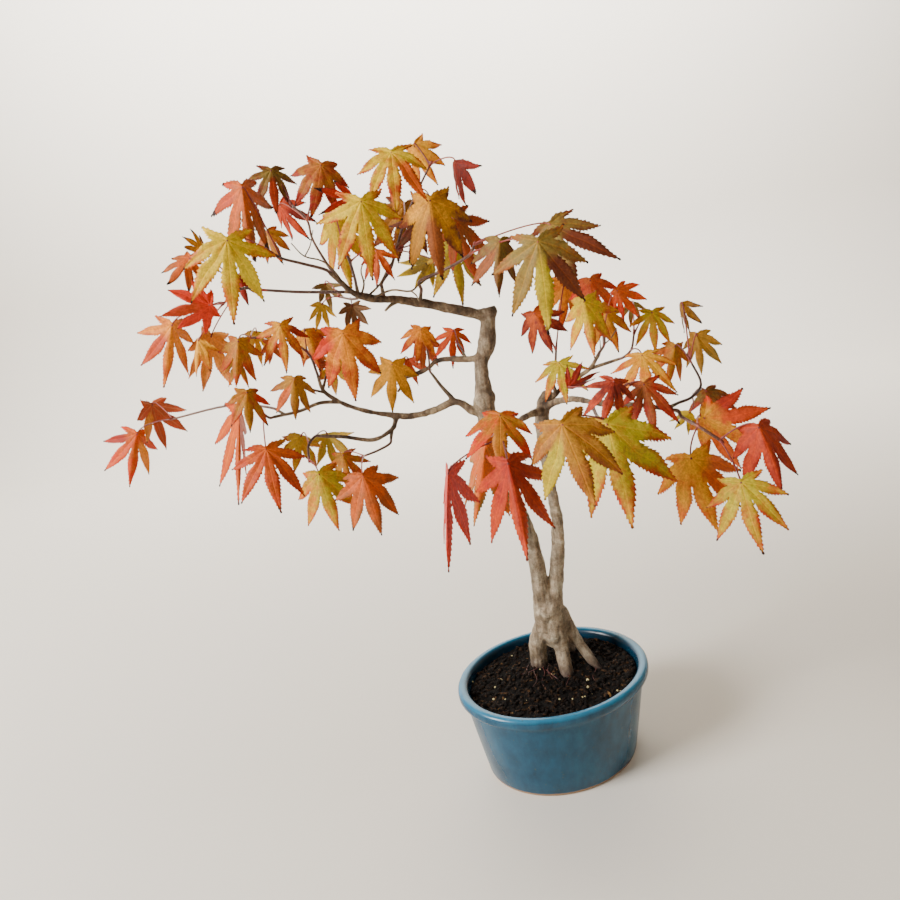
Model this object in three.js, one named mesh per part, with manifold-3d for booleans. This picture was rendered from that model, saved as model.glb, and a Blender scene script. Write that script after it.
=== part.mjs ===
// Japanese maple bonsai: a tree with two trunks and deeply cut autumn leaves, grown in an oval glazed pot.
// Millimetres, +Z up. The origin is the centre of the pot's flat underside, and the tree's front faces -Y.
import * as THREE from 'three';
import { mergeVertices } from 'three/addons/utils/BufferGeometryUtils.js';
import Module from 'manifold-3d';

const wasm = await Module();
wasm.setup();

// Pot, with its radii along the long axis
const potHeight = 66;
const rimRadius = 70;
const lipWidth = 7.5;
const lipDepth = 7;
const neckRadius = 66;
const footRadius = 56;
const potWall = 6;
const potRatio = 0.85;
const potTurn = THREE.MathUtils.degToRad(20);
const potSides = 40;
const drainRadius = 7;
const drainOffset = 28;

// Drainage nets
const netSize = 22;
const netDepth = 1.2;
const netBar = 2;
const netHoles = 3;

// Soil
const soilLevel = 59.5;
const soilMound = 3;
const soilBump = 0.7;
const clearance = 0.3;

// Wood
const trunkSides = 9;
const branchSides = 6;
const twigSides = 5;
const stemSides = 4;
const rootSides = 7;
const trunkGnarl = 0.1;
const branchGnarl = 0.06;
const rootDepth = 16;

// Leaves
const bladeDepth = 0.8;
const petioleRadius = 0.6;
const petioleSides = 3;
const petioleSteps = 2;
const baseNotch = 2.4;
const bladeDroop = 0.16;
const bladeCup = 0.15;
const sideFold = 20;
const bladeFold = 0.03;
const sinusFold = 0.02;
const lobes = [
  { angle: 0, reach: 1, half: 0.115, sinus: 0.36 },
  { angle: 33, reach: 0.87, half: 0.11, sinus: 0.33 },
  { angle: 69, reach: 0.62, half: 0, sinus: 0.24 },
  { angle: 113, reach: 0.34, half: 0, sinus: 0.12 },
];

// Places in the tree are read in one view of it: u runs to the right, v runs down, and y is the world's own
// depth, which grows away from the viewer.
const eye = new THREE.Vector3(-48, -454.5, 337);
const viewPitch = THREE.MathUtils.degToRad(12.5);
const viewRoll = THREE.MathUtils.degToRad(8.95);
const viewLength = 700;
const viewCentre = 450;
const viewForward = new THREE.Vector3(0, Math.cos(viewPitch), -Math.sin(viewPitch));
const viewRight = new THREE.Vector3(1, 0, 0).multiplyScalar(Math.cos(viewRoll))
  .addScaledVector(new THREE.Vector3(0, -Math.sin(viewPitch), -Math.cos(viewPitch)), Math.sin(viewRoll));
const viewDown = new THREE.Vector3().crossVectors(viewForward, viewRight);

// The wood's limbs: stops of [u, v, y, radius] from the thick end to the thin one
const trunks = {
  stump: [
    [555, 643, 13, 6.5], [554, 630, 12, 10.6], [550, 608, 10, 9.8], [547, 594, 8, 6.5], [547, 586, 8, 3.5],
  ],
  left: [
    [546, 628, 10, 7.8], [541, 592, 8, 6.2], [536, 560, 7, 5.5], [526, 527, 6, 5.5], [515, 503, 5, 5.5],
    [500, 460, 4, 5.8], [489, 425, 3, 6.2], [485, 404, 3, 6.9], [482, 379, 3, 5], [482, 361, 4, 4.7],
    [487, 343, 4, 6.2], [488, 325, 4, 5.1], [488, 309, 4, 5.3],
  ],
  right: [
    [557, 628, 12, 7.2], [555, 600, 8, 5.8], [557, 566, 6, 5], [558, 541, 4, 4.7], [557, 518, 2, 4],
    [553, 499, 0, 3.7], [549, 475, -2, 4], [545, 448, -4, 4.2], [542, 420, -6, 4.7], [545, 397, -7, 4.3],
  ],
};
const branches = {
  top: [
    [488, 317, 4, 4.2], [473, 313, 2, 3.4], [448, 308, -1, 3.1], [422, 303, -5, 2.9], [399, 300, -9, 2.8],
    [371, 298, -16, 2.5], [352, 292, -22, 2.2], [342, 283, -25, 1.6], [330, 273, -28, 1.2],
  ],
  topStub: [[400, 300, -9, 1.5], [391, 305, -10, 1.1], [385, 311, -10, 0.7]],
  back: [
    [482, 357, 4, 3], [468, 359, 8, 2.2], [448, 359, 16, 2], [437, 361, 22, 1.9], [425, 370, 28, 1.8],
    [409, 376, 34, 1.5], [402, 378, 38, 1.3],
  ],
  backStub: [[404, 378, 37, 1.2], [402, 385, 38, 1], [398, 392, 38, 0.8]],
  middle: [
    [487, 414, 3, 3.4], [473, 411, 3, 2.8], [457, 402, 4, 2.5], [435, 410, 6, 2.3], [412, 416, 6, 2.2],
    [384, 414, 4, 1.9], [358, 409, 0, 1.7], [338, 401, -2, 1.5], [323, 390, 0, 1.2], [318, 376, 2, 1],
  ],
  middleLow: [[341, 402, -2, 1.3], [320, 403, -4, 1.2], [300, 411, -6, 1.1], [274, 417, -10, 1]],
  lower: [
    [397, 416, 6, 1.8], [393, 428, 2, 1.6], [381, 437, -2, 1.5], [371, 440, -4, 1.4], [345, 437, -8, 1.2],
    [320, 436, -10, 1],
  ],
  upTwig: [[456, 402, 4, 1.7], [442, 387, 8, 1.2], [432, 374, 14, 0.9]],
  frontRight: [
    [542, 409, -6, 3], [559, 401, -20, 2.1], [575, 399, -40, 1.9], [592, 402, -65, 1.7], [612, 404, -80, 1.5],
    [640, 405, -90, 1.3], [673, 410, -98, 1.1],
  ],
  frontLeft: [
    [543, 410, -8, 2.8], [527, 416, -25, 2.1], [516, 424, -50, 1.6], [510, 432, -75, 1.2],
  ],
  rightUp: [
    [545, 404, -6, 2.8], [552, 398, -8, 1.9], [564, 386, -12, 1.6], [587, 371, -22, 1.4],
    [592, 366, -25, 1.2], [598, 355, -30, 1],
  ],
  rightSide: [[589, 369, -23, 1.2], [604, 364, -28, 1.1], [619, 359, -35, 0.9]],
};

// Roots: where each leaves the stump in the view, then its place and radius at the soil, in millimetres
const roots = [
  { from: [546, 618, 12, 7.6], knee: [538, 645, 16, 6.8], foot: [-7, 16.5, 6.8] },
  { from: [556, 622, 10, 7], knee: [562, 648, 8, 5.6], foot: [10, -2.5, 4.9] },
  { from: [559, 610, 11, 5.8], knee: [578, 642, 11, 4.4], foot: [33, 1.5, 3.1] },
  { from: [556, 625, 14, 6.5], knee: [562, 640, 24, 5.2], foot: [19, 28.5, 4.6] },
];

// Leafy sprays. "stub" is where the spray's own spur leaves its branch, unless the spray ends that branch.
// "stem" is the twig in stops of [u, v, y, radius]. A leaf has its junction, the tip of its middle lobe, its
// depth and the stop of the stem that its stalk leaves. It has in degrees its lean towards the viewer, its
// turn about its own middle lobe and the fold by which its two sides hang back.
const yellow = '#d6b23c';
const orange = '#d9792c';
const red = '#c2391f';
const sprays = [
  {
    name: 'spray_crown_left', colour: orange,
    stem: [[330, 273, -28, 1], [300, 263, -33, 0.9], [281, 258, -38, 0.8], [268, 250, -42, 0.7]],
    leaves: [
      { at: [227, 240], tip: [234, 321], y: -66, hub: 3, lean: 12, turn: 0, fold: 12 },
      { at: [242, 187], tip: [255, 266], y: -50, hub: 2, lean: 12, turn: -4, fold: 48 },
      { at: [267, 232], tip: [279, 260], y: -12, hub: 2, lean: 30, turn: 10 },
    ],
  },
  {
    name: 'spray_crown_upper', colour: red, stub: [340, 281, -25, 1.1],
    stem: [
      [335, 275, -23, 0.9], [322, 256, -20, 0.8], [312, 238, -17, 0.7], [307, 220, -15, 0.7],
      [292, 205, -14, 0.6],
    ],
    leaves: [
      { at: [271, 170], tip: [277, 211], y: -15, hub: 4, lean: 26, turn: -10, fold: 14 },
      { at: [280, 206], tip: [303, 240], y: 2, hub: 3, lean: 16, turn: 34 },
      { at: [321, 165], tip: [313, 214], y: -26, hub: 3, lean: 22, turn: 8, fold: 12 },
    ],
  },
  {
    name: 'spray_crown_centre', colour: yellow, stub: [358, 294, -20, 1.2],
    stem: [[356, 284, -24, 0.9], [350, 262, -30, 0.8], [343, 245, -36, 0.7], [346, 225, -44, 0.6]],
    leaves: [
      { at: [361, 201], tip: [372, 277], y: -66, hub: 3, lean: 10, turn: -5, fold: 14 },
      { at: [335, 219], tip: [349, 290], y: -22, hub: 2, lean: 5, turn: 15, fold: 42 },
      { at: [352, 196], tip: [322, 217], y: -30, hub: 3, lean: 20, turn: -35, lobes: 5 },
      { at: [376, 250], tip: [376, 284], y: -34, hub: 1, lean: 25, turn: 20, lobes: 5 },
    ],
  },
  {
    name: 'spray_crown_top', colour: orange, stub: [384, 299, -12, 1.4],
    stem: [
      [382, 288, -11, 1.1], [390, 270, -9, 1], [396, 250, -6, 0.9], [405, 220, -6, 0.8], [418, 190, -12, 0.7],
      [430, 165, -18, 0.6],
    ],
    leaves: [
      { at: [391, 152], tip: [397, 203], y: -40, hub: 4, lean: 40, turn: 0, fold: 4 },
      { at: [414, 146], tip: [433, 184], y: -4, hub: 5, lean: 10, turn: 20 },
      { at: [430, 200], tip: [439, 278], y: -38, hub: 4, lean: 8, turn: 5, fold: 30 },
      { at: [455, 243], tip: [465, 306], y: 22, hub: 2, lean: 8, turn: -15, fold: 36 },
      { at: [404, 205], tip: [398, 262], y: 30, hub: 3, lean: 6, turn: -15 },
      { at: [453, 218], tip: [476, 286], y: -12, hub: 4, lean: 6, turn: 10, fold: 42 },
      { at: [418, 222], tip: [412, 263], y: 8, hub: 3, lean: 2, turn: -20 },
      { at: [455, 162], tip: [461, 206], y: -24, hub: 5, lean: 10, turn: 55, lobes: 5 },
      { at: [432, 262], tip: [398, 276], y: 44, hub: 2, lean: 15, turn: 25, lobes: 5 },
    ],
  },
  {
    name: 'spray_bare_twig', colour: orange, stub: [420, 303, -6, 1.3],
    stem: [
      [421, 293, -10, 1.1], [419, 282, -14, 1], [440, 272, -24, 0.9], [462, 260, -34, 0.9],
      [471, 253, -40, 0.9], [474, 245, -44, 0.8],
    ],
    leaves: [
      { at: [550, 224], tip: [577, 286], y: -48, hub: 5, lean: 35, turn: 10 },
      { at: [538, 241], tip: [551, 331], y: -84, hub: 4, lean: 12, turn: 0 },
      { at: [500, 241], tip: [499, 293], y: -60, hub: 5, lean: 18, turn: -10, fold: 36 },
    ],
  },
  {
    name: 'spray_left', colour: red, stub: [353, 292, -22, 1.4],
    stem: [
      [344, 292, -24, 0.9], [300, 292, -27, 0.9], [262, 290, -30, 0.8], [240, 289, -34, 0.8],
      [224, 303, -38, 0.7],
    ],
    leaves: [
      { at: [210, 305], tip: [163, 314], y: -52, hub: 4, lean: 5, turn: 0 },
      { at: [190, 258], tip: [165, 283], y: -34, hub: 3, lean: 15, turn: 30 },
      { at: [203, 250], tip: [188, 238], y: -16, hub: 3, lean: 35, turn: 15, lobes: 5 },
      { at: [238, 276], tip: [246, 303], y: -8, hub: 2, lean: 20, turn: 10, lobes: 5 },
      { at: [172, 325], tip: [168, 388], y: -24, hub: 4, lean: 5, turn: -10, fold: 42 },
      { at: [198, 340], tip: [191, 374], y: 4, hub: 4, lean: 15, turn: 50, fold: 34, lobes: 5 },
      { at: [211, 336], tip: [201, 391], y: 34, hub: 3, lean: -10, turn: 165, fold: 36 },
    ],
  },
  {
    name: 'spray_left_inner', colour: orange,
    stem: [[318, 376, 2, 0.9], [307, 352, 6, 0.8], [275, 337, 6, 0.7], [250, 338, 4, 0.6]],
    leaves: [
      { at: [238, 341], tip: [235, 386], y: -16, hub: 3, lean: 10, turn: 10, fold: 34 },
      { at: [237, 357], tip: [249, 385], y: 14, hub: 3, lean: 25, turn: -15, fold: 32, lobes: 5 },
      { at: [280, 325], tip: [287, 372], y: -8, hub: 2, lean: 10, turn: 5 },
      { at: [305, 330], tip: [319, 370], y: 22, hub: 1, lean: 12, turn: 10, fold: 30, lobes: 5 },
      { at: [256, 332], tip: [259, 368], y: 40, hub: 3, lean: 15, turn: 150, lobes: 5 },
      { at: [272, 342], tip: [267, 365], y: 26, hub: 2, lean: 20, turn: 160, lobes: 5 },
    ],
  },
  {
    name: 'spray_left_middle', colour: orange, stub: [327, 393, -1, 1.1],
    stem: [[318, 391, -3, 0.8], [308, 388, -5, 0.7]],
    leaves: [
      { at: [294, 379], tip: [296, 418], y: -14, hub: 1, lean: 20, turn: -5, fold: 24 },
    ],
  },
  {
    name: 'spray_middle', colour: orange, stub: [323, 389, 0, 1],
    stem: [[325, 381, 5, 0.9], [329, 368, 11, 0.8], [335, 352, 18, 0.7]],
    leaves: [
      { at: [343, 333], tip: [357, 401], y: -10, hub: 2, lean: 5, turn: 0, fold: 14 },
      { at: [333, 362], tip: [334, 396], y: 40, hub: 1, lean: 15, turn: 170 },
      { at: [322, 338], tip: [318, 380], y: 62, hub: 2, lean: 10, turn: 165, fold: 30, lobes: 5 },
    ],
  },
  {
    name: 'spray_back_low', colour: yellow,
    stem: [[402, 378, 38, 0.9], [393, 376, 42, 0.8], [384, 370, 46, 0.7]],
    leaves: [
      { at: [392, 364], tip: [391, 412], y: 22, hub: 2, lean: 5, turn: 5 },
      { at: [408, 359], tip: [417, 387], y: 66, hub: 1, lean: 20, turn: 160, lobes: 5 },
    ],
  },
  {
    name: 'spray_back_middle', colour: orange,
    stem: [[432, 374, 14, 0.8], [429, 360, 24, 0.7], [426, 345, 34, 0.6]],
    leaves: [
      { at: [421, 329], tip: [416, 361], y: 18, hub: 2, lean: 24, turn: 0, fold: 12 },
      { at: [424, 337], tip: [419, 373], y: 52, hub: 2, lean: 10, turn: 150, lobes: 5 },
    ],
  },
  {
    name: 'spray_back_right', colour: red, stub: [466, 359, 9, 1.4],
    stem: [[463, 352, 14, 0.8], [458, 344, 22, 0.7]],
    leaves: [
      { at: [453, 331], tip: [452, 366], y: 36, hub: 1, lean: 20, turn: 0 },
    ],
  },
  {
    name: 'spray_low_left', colour: orange,
    stem: [[274, 417, -10, 0.9], [263, 413, -13, 0.8], [258, 405, -14, 0.7]],
    leaves: [
      { at: [247, 392], tip: [251, 430], y: -32, hub: 2, lean: 24, turn: -10 },
      { at: [239, 412], tip: [241, 506], y: -22, hub: 1, lean: 5, turn: -8, fold: 72 },
      { at: [266, 449], tip: [278, 510], y: -54, hub: 1, lean: 20, turn: 0, fold: 10 },
    ],
  },
  {
    name: 'spray_far_left', colour: red, stub: [284, 414, -8, 1],
    stem: [[277, 410, -3, 0.9], [250, 405, 8, 0.8], [226, 406, 18, 0.8], [173, 419, 42, 0.7]],
    leaves: [
      { at: [152, 405], tip: [163, 450], y: 60, hub: 3, lean: -5, turn: 155 },
      { at: [137, 434], tip: [131, 487], y: 42, hub: 3, lean: 5, turn: -10, fold: 34 },
    ],
  },
  {
    name: 'spray_low_middle', colour: yellow,
    stem: [[320, 436, -10, 0.9], [309, 444, -14, 0.8], [309, 460, -24, 0.7]],
    leaves: [
      { at: [319, 474], tip: [337, 530], y: -36, hub: 2, lean: 10, turn: 10 },
      { at: [301, 436], tip: [292, 474], y: 12, hub: 1, lean: 15, turn: 165, lobes: 5 },
      { at: [327, 434], tip: [336, 473], y: 34, hub: 1, lean: 15, turn: 170, lobes: 5 },
    ],
  },
  {
    name: 'spray_low_right', colour: red, stub: [392, 429, 2, 1.4],
    stem: [[391, 439, -1, 0.9], [379, 450, -6, 0.8], [364, 456, -10, 0.7]],
    leaves: [
      { at: [343, 455], tip: [351, 499], y: -4, hub: 2, lean: 16, turn: 8, fold: 30 },
      { at: [363, 476], tip: [382, 534], y: -64, hub: 2, lean: 10, turn: 0 },
    ],
  },
  {
    name: 'spray_right_end', colour: orange,
    stem: [[673, 410, -98, 1], [681, 416, -102, 0.9], [698, 426, -112, 0.8], [720, 440, -118, 0.8]],
    leaves: [
      { at: [704, 418], tip: [765, 452], y: -98, hub: 2, lean: 8, turn: 15 },
      { at: [691, 458], tip: [714, 530], y: -112, hub: 2, lean: 10, turn: 0 },
      { at: [741, 482], tip: [759, 551], y: -146, hub: 3, lean: 12, turn: 0, fold: 12 },
      { at: [759, 427], tip: [785, 489], y: -128, hub: 3, lean: 10, turn: -15, fold: 38 },
    ],
  },
  {
    name: 'spray_right_outer', colour: yellow, stub: [666, 409, -97, 1.2],
    stem: [[676, 404, -90, 0.9], [692, 397, -84, 0.8], [701, 384, -78, 0.7], [690, 360, -70, 0.6]],
    leaves: [
      { at: [706, 391], tip: [724, 423], y: -66, hub: 1, lean: 25, turn: -10 },
      { at: [697, 335], tip: [700, 374], y: -60, hub: 3, lean: 12, turn: 15, fold: 30 },
      { at: [675, 346], tip: [670, 385], y: -62, hub: 3, lean: 14, turn: -15, fold: 34 },
      { at: [681, 303], tip: [686, 336], y: -38, hub: 3, lean: 15, turn: 55, lobes: 5 },
      { at: [690, 412], tip: [676, 427], y: -70, hub: 1, lean: 30, turn: 15, lobes: 5 },
    ],
  },
  {
    name: 'spray_front_right', colour: yellow, stub: [590, 402, -62, 1.9],
    stem: [[591, 403, -72, 1.1], [597, 416, -98, 0.9], [603, 419, -124, 0.8]],
    leaves: [
      { at: [607, 424], tip: [634, 525], y: -127, hub: 2, lean: 10, turn: 5, fold: 26 },
      { at: [562, 424], tip: [595, 504], y: -150, hub: 2, lean: 10, turn: 0, fold: 16 },
    ],
  },
  {
    name: 'spray_front_upper', colour: red, stub: [610, 404, -78, 1.6],
    stem: [[614, 397, -84, 0.9], [619, 390, -88, 0.8], [626, 385, -92, 0.7]],
    leaves: [
      { at: [614, 381], tip: [603, 424], y: -104, hub: 1, lean: 26, turn: 0 },
      { at: [644, 384], tip: [655, 434], y: -98, hub: 2, lean: 22, turn: 5 },
      { at: [568, 387], tip: [600, 376], y: -72, hub: 1, lean: 10, turn: 50, lobes: 5 },
    ],
  },
  {
    name: 'spray_front_left', colour: red,
    stem: [[510, 432, -75, 1], [506, 434, -84, 0.9], [502, 438, -94, 0.8]],
    leaves: [
      { at: [500, 415], tip: [500, 461], y: -92, hub: 1, lean: 42, turn: 0, fold: 12 },
      { at: [508, 463], tip: [529, 558], y: -128, hub: 2, lean: 10, turn: 0, fold: 44 },
      { at: [448, 473], tip: [444, 572], y: -101, hub: 2, lean: 5, turn: 14, fold: 70 },
      { at: [485, 444], tip: [472, 526], y: -62, hub: 1, lean: 5, turn: 20, fold: 48 },
    ],
  },
  {
    name: 'spray_right_upper', colour: orange,
    stem: [[598, 355, -30, 0.9], [604, 345, -34, 0.8], [604, 328, -38, 0.7]],
    leaves: [
      { at: [590, 280], tip: [602, 322], y: -28, hub: 2, lean: 20, turn: -5 },
      { at: [584, 301], tip: [594, 356], y: -66, hub: 2, lean: 12, turn: 5, fold: 38 },
      { at: [617, 290], tip: [636, 317], y: -56, hub: 2, lean: 20, turn: 25 },
      { at: [602, 307], tip: [621, 350], y: -12, hub: 1, lean: 12, turn: -10, fold: 30 },
    ],
  },
  {
    name: 'spray_right_side', colour: yellow,
    stem: [[619, 359, -35, 0.8], [631, 350, -42, 0.7], [634, 334, -46, 0.6]],
    leaves: [
      { at: [652, 312], tip: [655, 352], y: -56, hub: 2, lean: 18, turn: 0 },
      { at: [642, 355], tip: [649, 396], y: -76, hub: 1, lean: 40, turn: 0, fold: 8 },
      { at: [632, 302], tip: [629, 326], y: -4, hub: 2, lean: 20, turn: 20, lobes: 5 },
    ],
  },
  {
    name: 'spray_right_inner', colour: yellow, stub: [556, 394, -9, 1.7],
    stem: [[554, 386, -15, 0.9], [555, 374, -22, 0.8], [556, 350, -28, 0.7]],
    leaves: [
      { at: [559, 363], tip: [566, 399], y: -46, hub: 1, lean: 42, turn: 0, fold: 6 },
      { at: [565, 283], tip: [564, 328], y: -4, hub: 2, lean: 12, turn: -20 },
      { at: [534, 313], tip: [553, 353], y: -34, hub: 2, lean: 12, turn: 10 },
    ],
  },
  {
    name: 'spray_back_top', colour: '#8a5a24', stub: [362, 296, -18, 1.3],
    stem: [[358, 298, -8, 0.9], [350, 299, 16, 0.8], [340, 297, 34, 0.7]],
    leaves: [
      { at: [325, 284], tip: [331, 313], y: 50, hub: 2, lean: 15, turn: 165, lobes: 5 },
      { at: [322, 304], tip: [314, 331], y: 30, hub: 2, lean: 10, turn: 160, lobes: 5 },
      { at: [352, 306], tip: [357, 335], y: 44, hub: 1, lean: 10, turn: 170 },
    ],
  },
];

// A number from 0 to 1 drawn from a seed and a place in its row, the same on every run
function draw(seed, place) {
  const wave = Math.sin(seed * 12.9898 + place * 78.233) * 43758.5453;
  return wave - Math.floor(wave);
}

// The world place of a point seen at u, v at the depth y
function seen(u, v, y) {
  const ray = viewForward.clone()
    .addScaledVector(viewRight, (u - viewCentre) / viewLength)
    .addScaledVector(viewDown, (v - viewCentre) / viewLength);
  return eye.clone().addScaledVector(ray, (y - eye.y) / ray.y);
}

function stopsOf(rows) {
  return rows.map(([u, v, y, radius]) => ({ place: seen(u, v, y), radius }));
}

function solidOf(geometry) {
  const bare = new THREE.BufferGeometry();
  bare.setAttribute('position', geometry.getAttribute('position'));
  bare.setIndex(geometry.getIndex());
  const merged = mergeVertices(bare, 1e-4);
  const corners = merged.getIndex().array;
  const faces = [];
  for (let i = 0; i < corners.length; i += 3) {
    const [a, b, c] = [corners[i], corners[i + 1], corners[i + 2]];
    if (a !== b && b !== c && c !== a) {
      faces.push(a, b, c);
    }
  }
  const vertProperties = new Float32Array(merged.getAttribute('position').array);
  return new wasm.Manifold(new wasm.Mesh({ numProp: 3, vertProperties, triVerts: new Uint32Array(faces) }));
}

function geometryOf(solid) {
  const mesh = solid.getMesh();
  const geometry = new THREE.BufferGeometry();
  geometry.setAttribute('position', new THREE.BufferAttribute(new Float32Array(mesh.vertProperties), 3));
  geometry.setIndex(new THREE.BufferAttribute(new Uint32Array(mesh.triVerts), 1));
  geometry.computeVertexNormals();
  return geometry;
}

function indexedGeometry(points, faces) {
  const geometry = new THREE.BufferGeometry();
  geometry.setAttribute('position', new THREE.Float32BufferAttribute(points, 3));
  geometry.setIndex(faces);
  return geometry;
}

// A round tapering limb through its stops, with flat ends square to its first and last stretch. Gnarl makes
// its section uneven, and grow adds to its radius all over.
function limb(stops, sides, steps, gnarl = 0, seed = 1, grow = 0) {
  const places = stops.map((stop) => stop.place);
  const curve = new THREE.CatmullRomCurve3(places, false, 'centripetal');
  const spans = stops.length - 1;
  const rings = spans * steps;
  const points = [];
  const faces = [];
  let side = new THREE.Vector3(0, 0, 1);
  for (let i = 0; i <= rings; i++) {
    const span = Math.min(Math.floor(i / steps), spans - 1);
    const part = i / steps - span;
    const centre = curve.getPoint(i / rings);
    const tangent = curve.getTangent(i / rings);
    if (i === 0) {
      tangent.subVectors(places[1], places[0]).normalize();
      side = Math.abs(tangent.z) > 0.8 ? new THREE.Vector3(0, 1, 0) : side;
    } else if (i === rings) {
      tangent.subVectors(places[spans], places[spans - 1]).normalize();
    }
    side.addScaledVector(tangent, -side.dot(tangent)).normalize();
    const other = new THREE.Vector3().crossVectors(tangent, side);
    const radius = THREE.MathUtils.lerp(stops[span].radius, stops[span + 1].radius, part);
    for (let k = 0; k < sides; k++) {
      const angle = (2 * Math.PI * k) / sides;
      const reach = radius * (1 + gnarl * (2 * draw(seed + k, i) - 1)) + grow;
      const point = centre.clone()
        .addScaledVector(side, reach * Math.cos(angle))
        .addScaledVector(other, reach * Math.sin(angle));
      points.push(point.x, point.y, point.z);
    }
  }
  for (let i = 0; i < rings; i++) {
    for (let k = 0; k < sides; k++) {
      const next = (k + 1) % sides;
      const [a, b] = [i * sides + k, i * sides + next];
      faces.push(a, b, b + sides, a, b + sides, a + sides);
    }
  }
  for (let k = 1; k < sides - 1; k++) {
    faces.push(0, k + 1, k, rings * sides, rings * sides + k, rings * sides + k + 1);
  }
  return solidOf(indexedGeometry(points, faces));
}

// The straight way on from the end of a row of stops
function endDirection(stops) {
  const [last, previous] = [stops[stops.length - 1], stops[stops.length - 2]];
  return new THREE.Vector3().subVectors(last.place, previous.place).normalize();
}

// One leaf's outline in its own plane, from the lobe on the far right round to the far left, with the height
// of each point over the plane, all in parts of the middle lobe's length
function leafOutline(lobeCount, length, seed, fold) {
  const pairs = (lobeCount - 1) / 2;
  const outline = [];
  for (let i = -pairs; i <= pairs; i++) {
    const lobe = lobes[Math.abs(i)];
    const wander = i === 0 ? 0 : 7 * (draw(seed, i + 9) - 0.5);
    const angle = THREE.MathUtils.degToRad(-Math.sign(i) * lobe.angle + wander);
    const reach = lobe.reach * (1 + 0.14 * (draw(seed, i + 19) - 0.5) * Math.sign(Math.abs(i)));
    const droop = bladeDroop * (0.6 + 0.8 * draw(seed, i + 29));
    const [x, y] = [Math.sin(angle), Math.cos(angle)];
    const waist = 0.56 * reach;
    const waistHeight = bladeFold - droop * waist * waist - bladeCup * (waist * x) ** 2;
    if (i > -pairs) {
      const inner = lobes[Math.min(Math.abs(i), Math.abs(i - 1))];
      const outer = lobes[Math.max(Math.abs(i), Math.abs(i - 1))];
      const between = THREE.MathUtils.degToRad(-Math.sign(i - 0.5) * 0.5 * (inner.angle + outer.angle));
      outline.push({ x: inner.sinus * Math.sin(between), y: inner.sinus * Math.cos(between), z: sinusFold });
    }
    const tip = { x: reach * x, y: reach * y, z: -droop * reach * reach - bladeCup * (reach * x) ** 2 };
    if (lobe.half > 0) {
      outline.push({ x: waist * x + lobe.half * y, y: waist * y - lobe.half * x, z: waistHeight });
      outline.push(tip);
      outline.push({ x: waist * x - lobe.half * y, y: waist * y + lobe.half * x, z: waistHeight });
    } else {
      outline.push(tip);
    }
  }
  outline.push({ x: 0, y: -baseNotch / length, z: 0 });
  const hang = THREE.MathUtils.degToRad(fold);
  return outline.map(({ x, y, z }) => ({ x: x * Math.cos(hang), y, z: z - Math.abs(x) * Math.sin(hang) }));
}

// Where a leaf lies: its junction, its length, and the directions across it, along it and out of its face
function leafFrame(leaf) {
  const junction = seen(leaf.at[0], leaf.at[1], leaf.y);
  const toEye = new THREE.Vector3().subVectors(eye, junction).normalize();
  const flat = viewRight.clone().multiplyScalar(leaf.tip[0] - leaf.at[0])
    .addScaledVector(viewDown, leaf.tip[1] - leaf.at[1]);
  const distance = new THREE.Vector3().subVectors(junction, eye).dot(viewForward);
  const lean = THREE.MathUtils.degToRad(leaf.lean);
  const turn = THREE.MathUtils.degToRad(leaf.turn);
  const length = (flat.length() * distance) / viewLength / Math.cos(lean);
  flat.addScaledVector(toEye, -flat.dot(toEye)).normalize();
  const along = flat.clone().multiplyScalar(Math.cos(lean)).addScaledVector(toEye, Math.sin(lean));
  const facing = toEye.clone().multiplyScalar(Math.cos(lean)).addScaledVector(flat, -Math.sin(lean));
  const aside = new THREE.Vector3().crossVectors(along, facing);
  const normal = facing.multiplyScalar(Math.cos(turn)).addScaledVector(aside, Math.sin(turn));
  const across = new THREE.Vector3().crossVectors(along, normal);
  return { junction, length, along, normal, across };
}

// One blade: the same triangles on its upper and lower face, half its depth either side of its own surface
function leafBlade(frame, outline) {
  const { junction, length, along, normal, across } = frame;
  const count = outline.length;
  const points = [];
  for (const offset of [bladeDepth / 2, -bladeDepth / 2]) {
    for (const spot of [{ x: 0, y: 0, z: 0 }, ...outline]) {
      const point = junction.clone()
        .addScaledVector(across, spot.x * length)
        .addScaledVector(along, spot.y * length)
        .addScaledVector(normal, spot.z * length + offset);
      points.push(point.x, point.y, point.z);
    }
  }
  const faces = [];
  const under = count + 1;
  for (let k = 0; k < count; k++) {
    const [a, b] = [k + 1, ((k + 1) % count) + 1];
    faces.push(0, a, b, under, under + b, under + a);
    faces.push(a, under + a, under + b, a, under + b, b);
  }
  return solidOf(indexedGeometry(points, faces));
}

// The stalk from the stem to the blade, arched over and sunk into both
function petiole(start, frame) {
  const reach = start.distanceTo(frame.junction);
  const bend = frame.junction.clone()
    .addScaledVector(frame.along, -0.3 * reach)
    .addScaledVector(frame.normal, -0.06 * reach);
  const rise = start.clone().lerp(bend, 0.5).add(new THREE.Vector3(0, 0, 0.08 * reach));
  const end = frame.junction.clone().addScaledVector(frame.along, -0.4 * baseNotch);
  const curve = new THREE.CubicBezierCurve3(start, rise, bend, end);
  const stops = curve.getPoints(petioleSteps).map((place) => ({ place, radius: petioleRadius }));
  return limb(stops, petioleSides, 1);
}

function sprayEnd(spray) {
  if (spray.stub) {
    return stopsOf([spray.stub, spray.stem[0]]);
  }
  const [u, v, y] = spray.stem[0];
  const carrier = Object.values(branches).find((rows) => {
    const last = rows[rows.length - 1];
    return last[0] === u && last[1] === v && last[2] === y;
  });
  return stopsOf(carrier);
}

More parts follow.
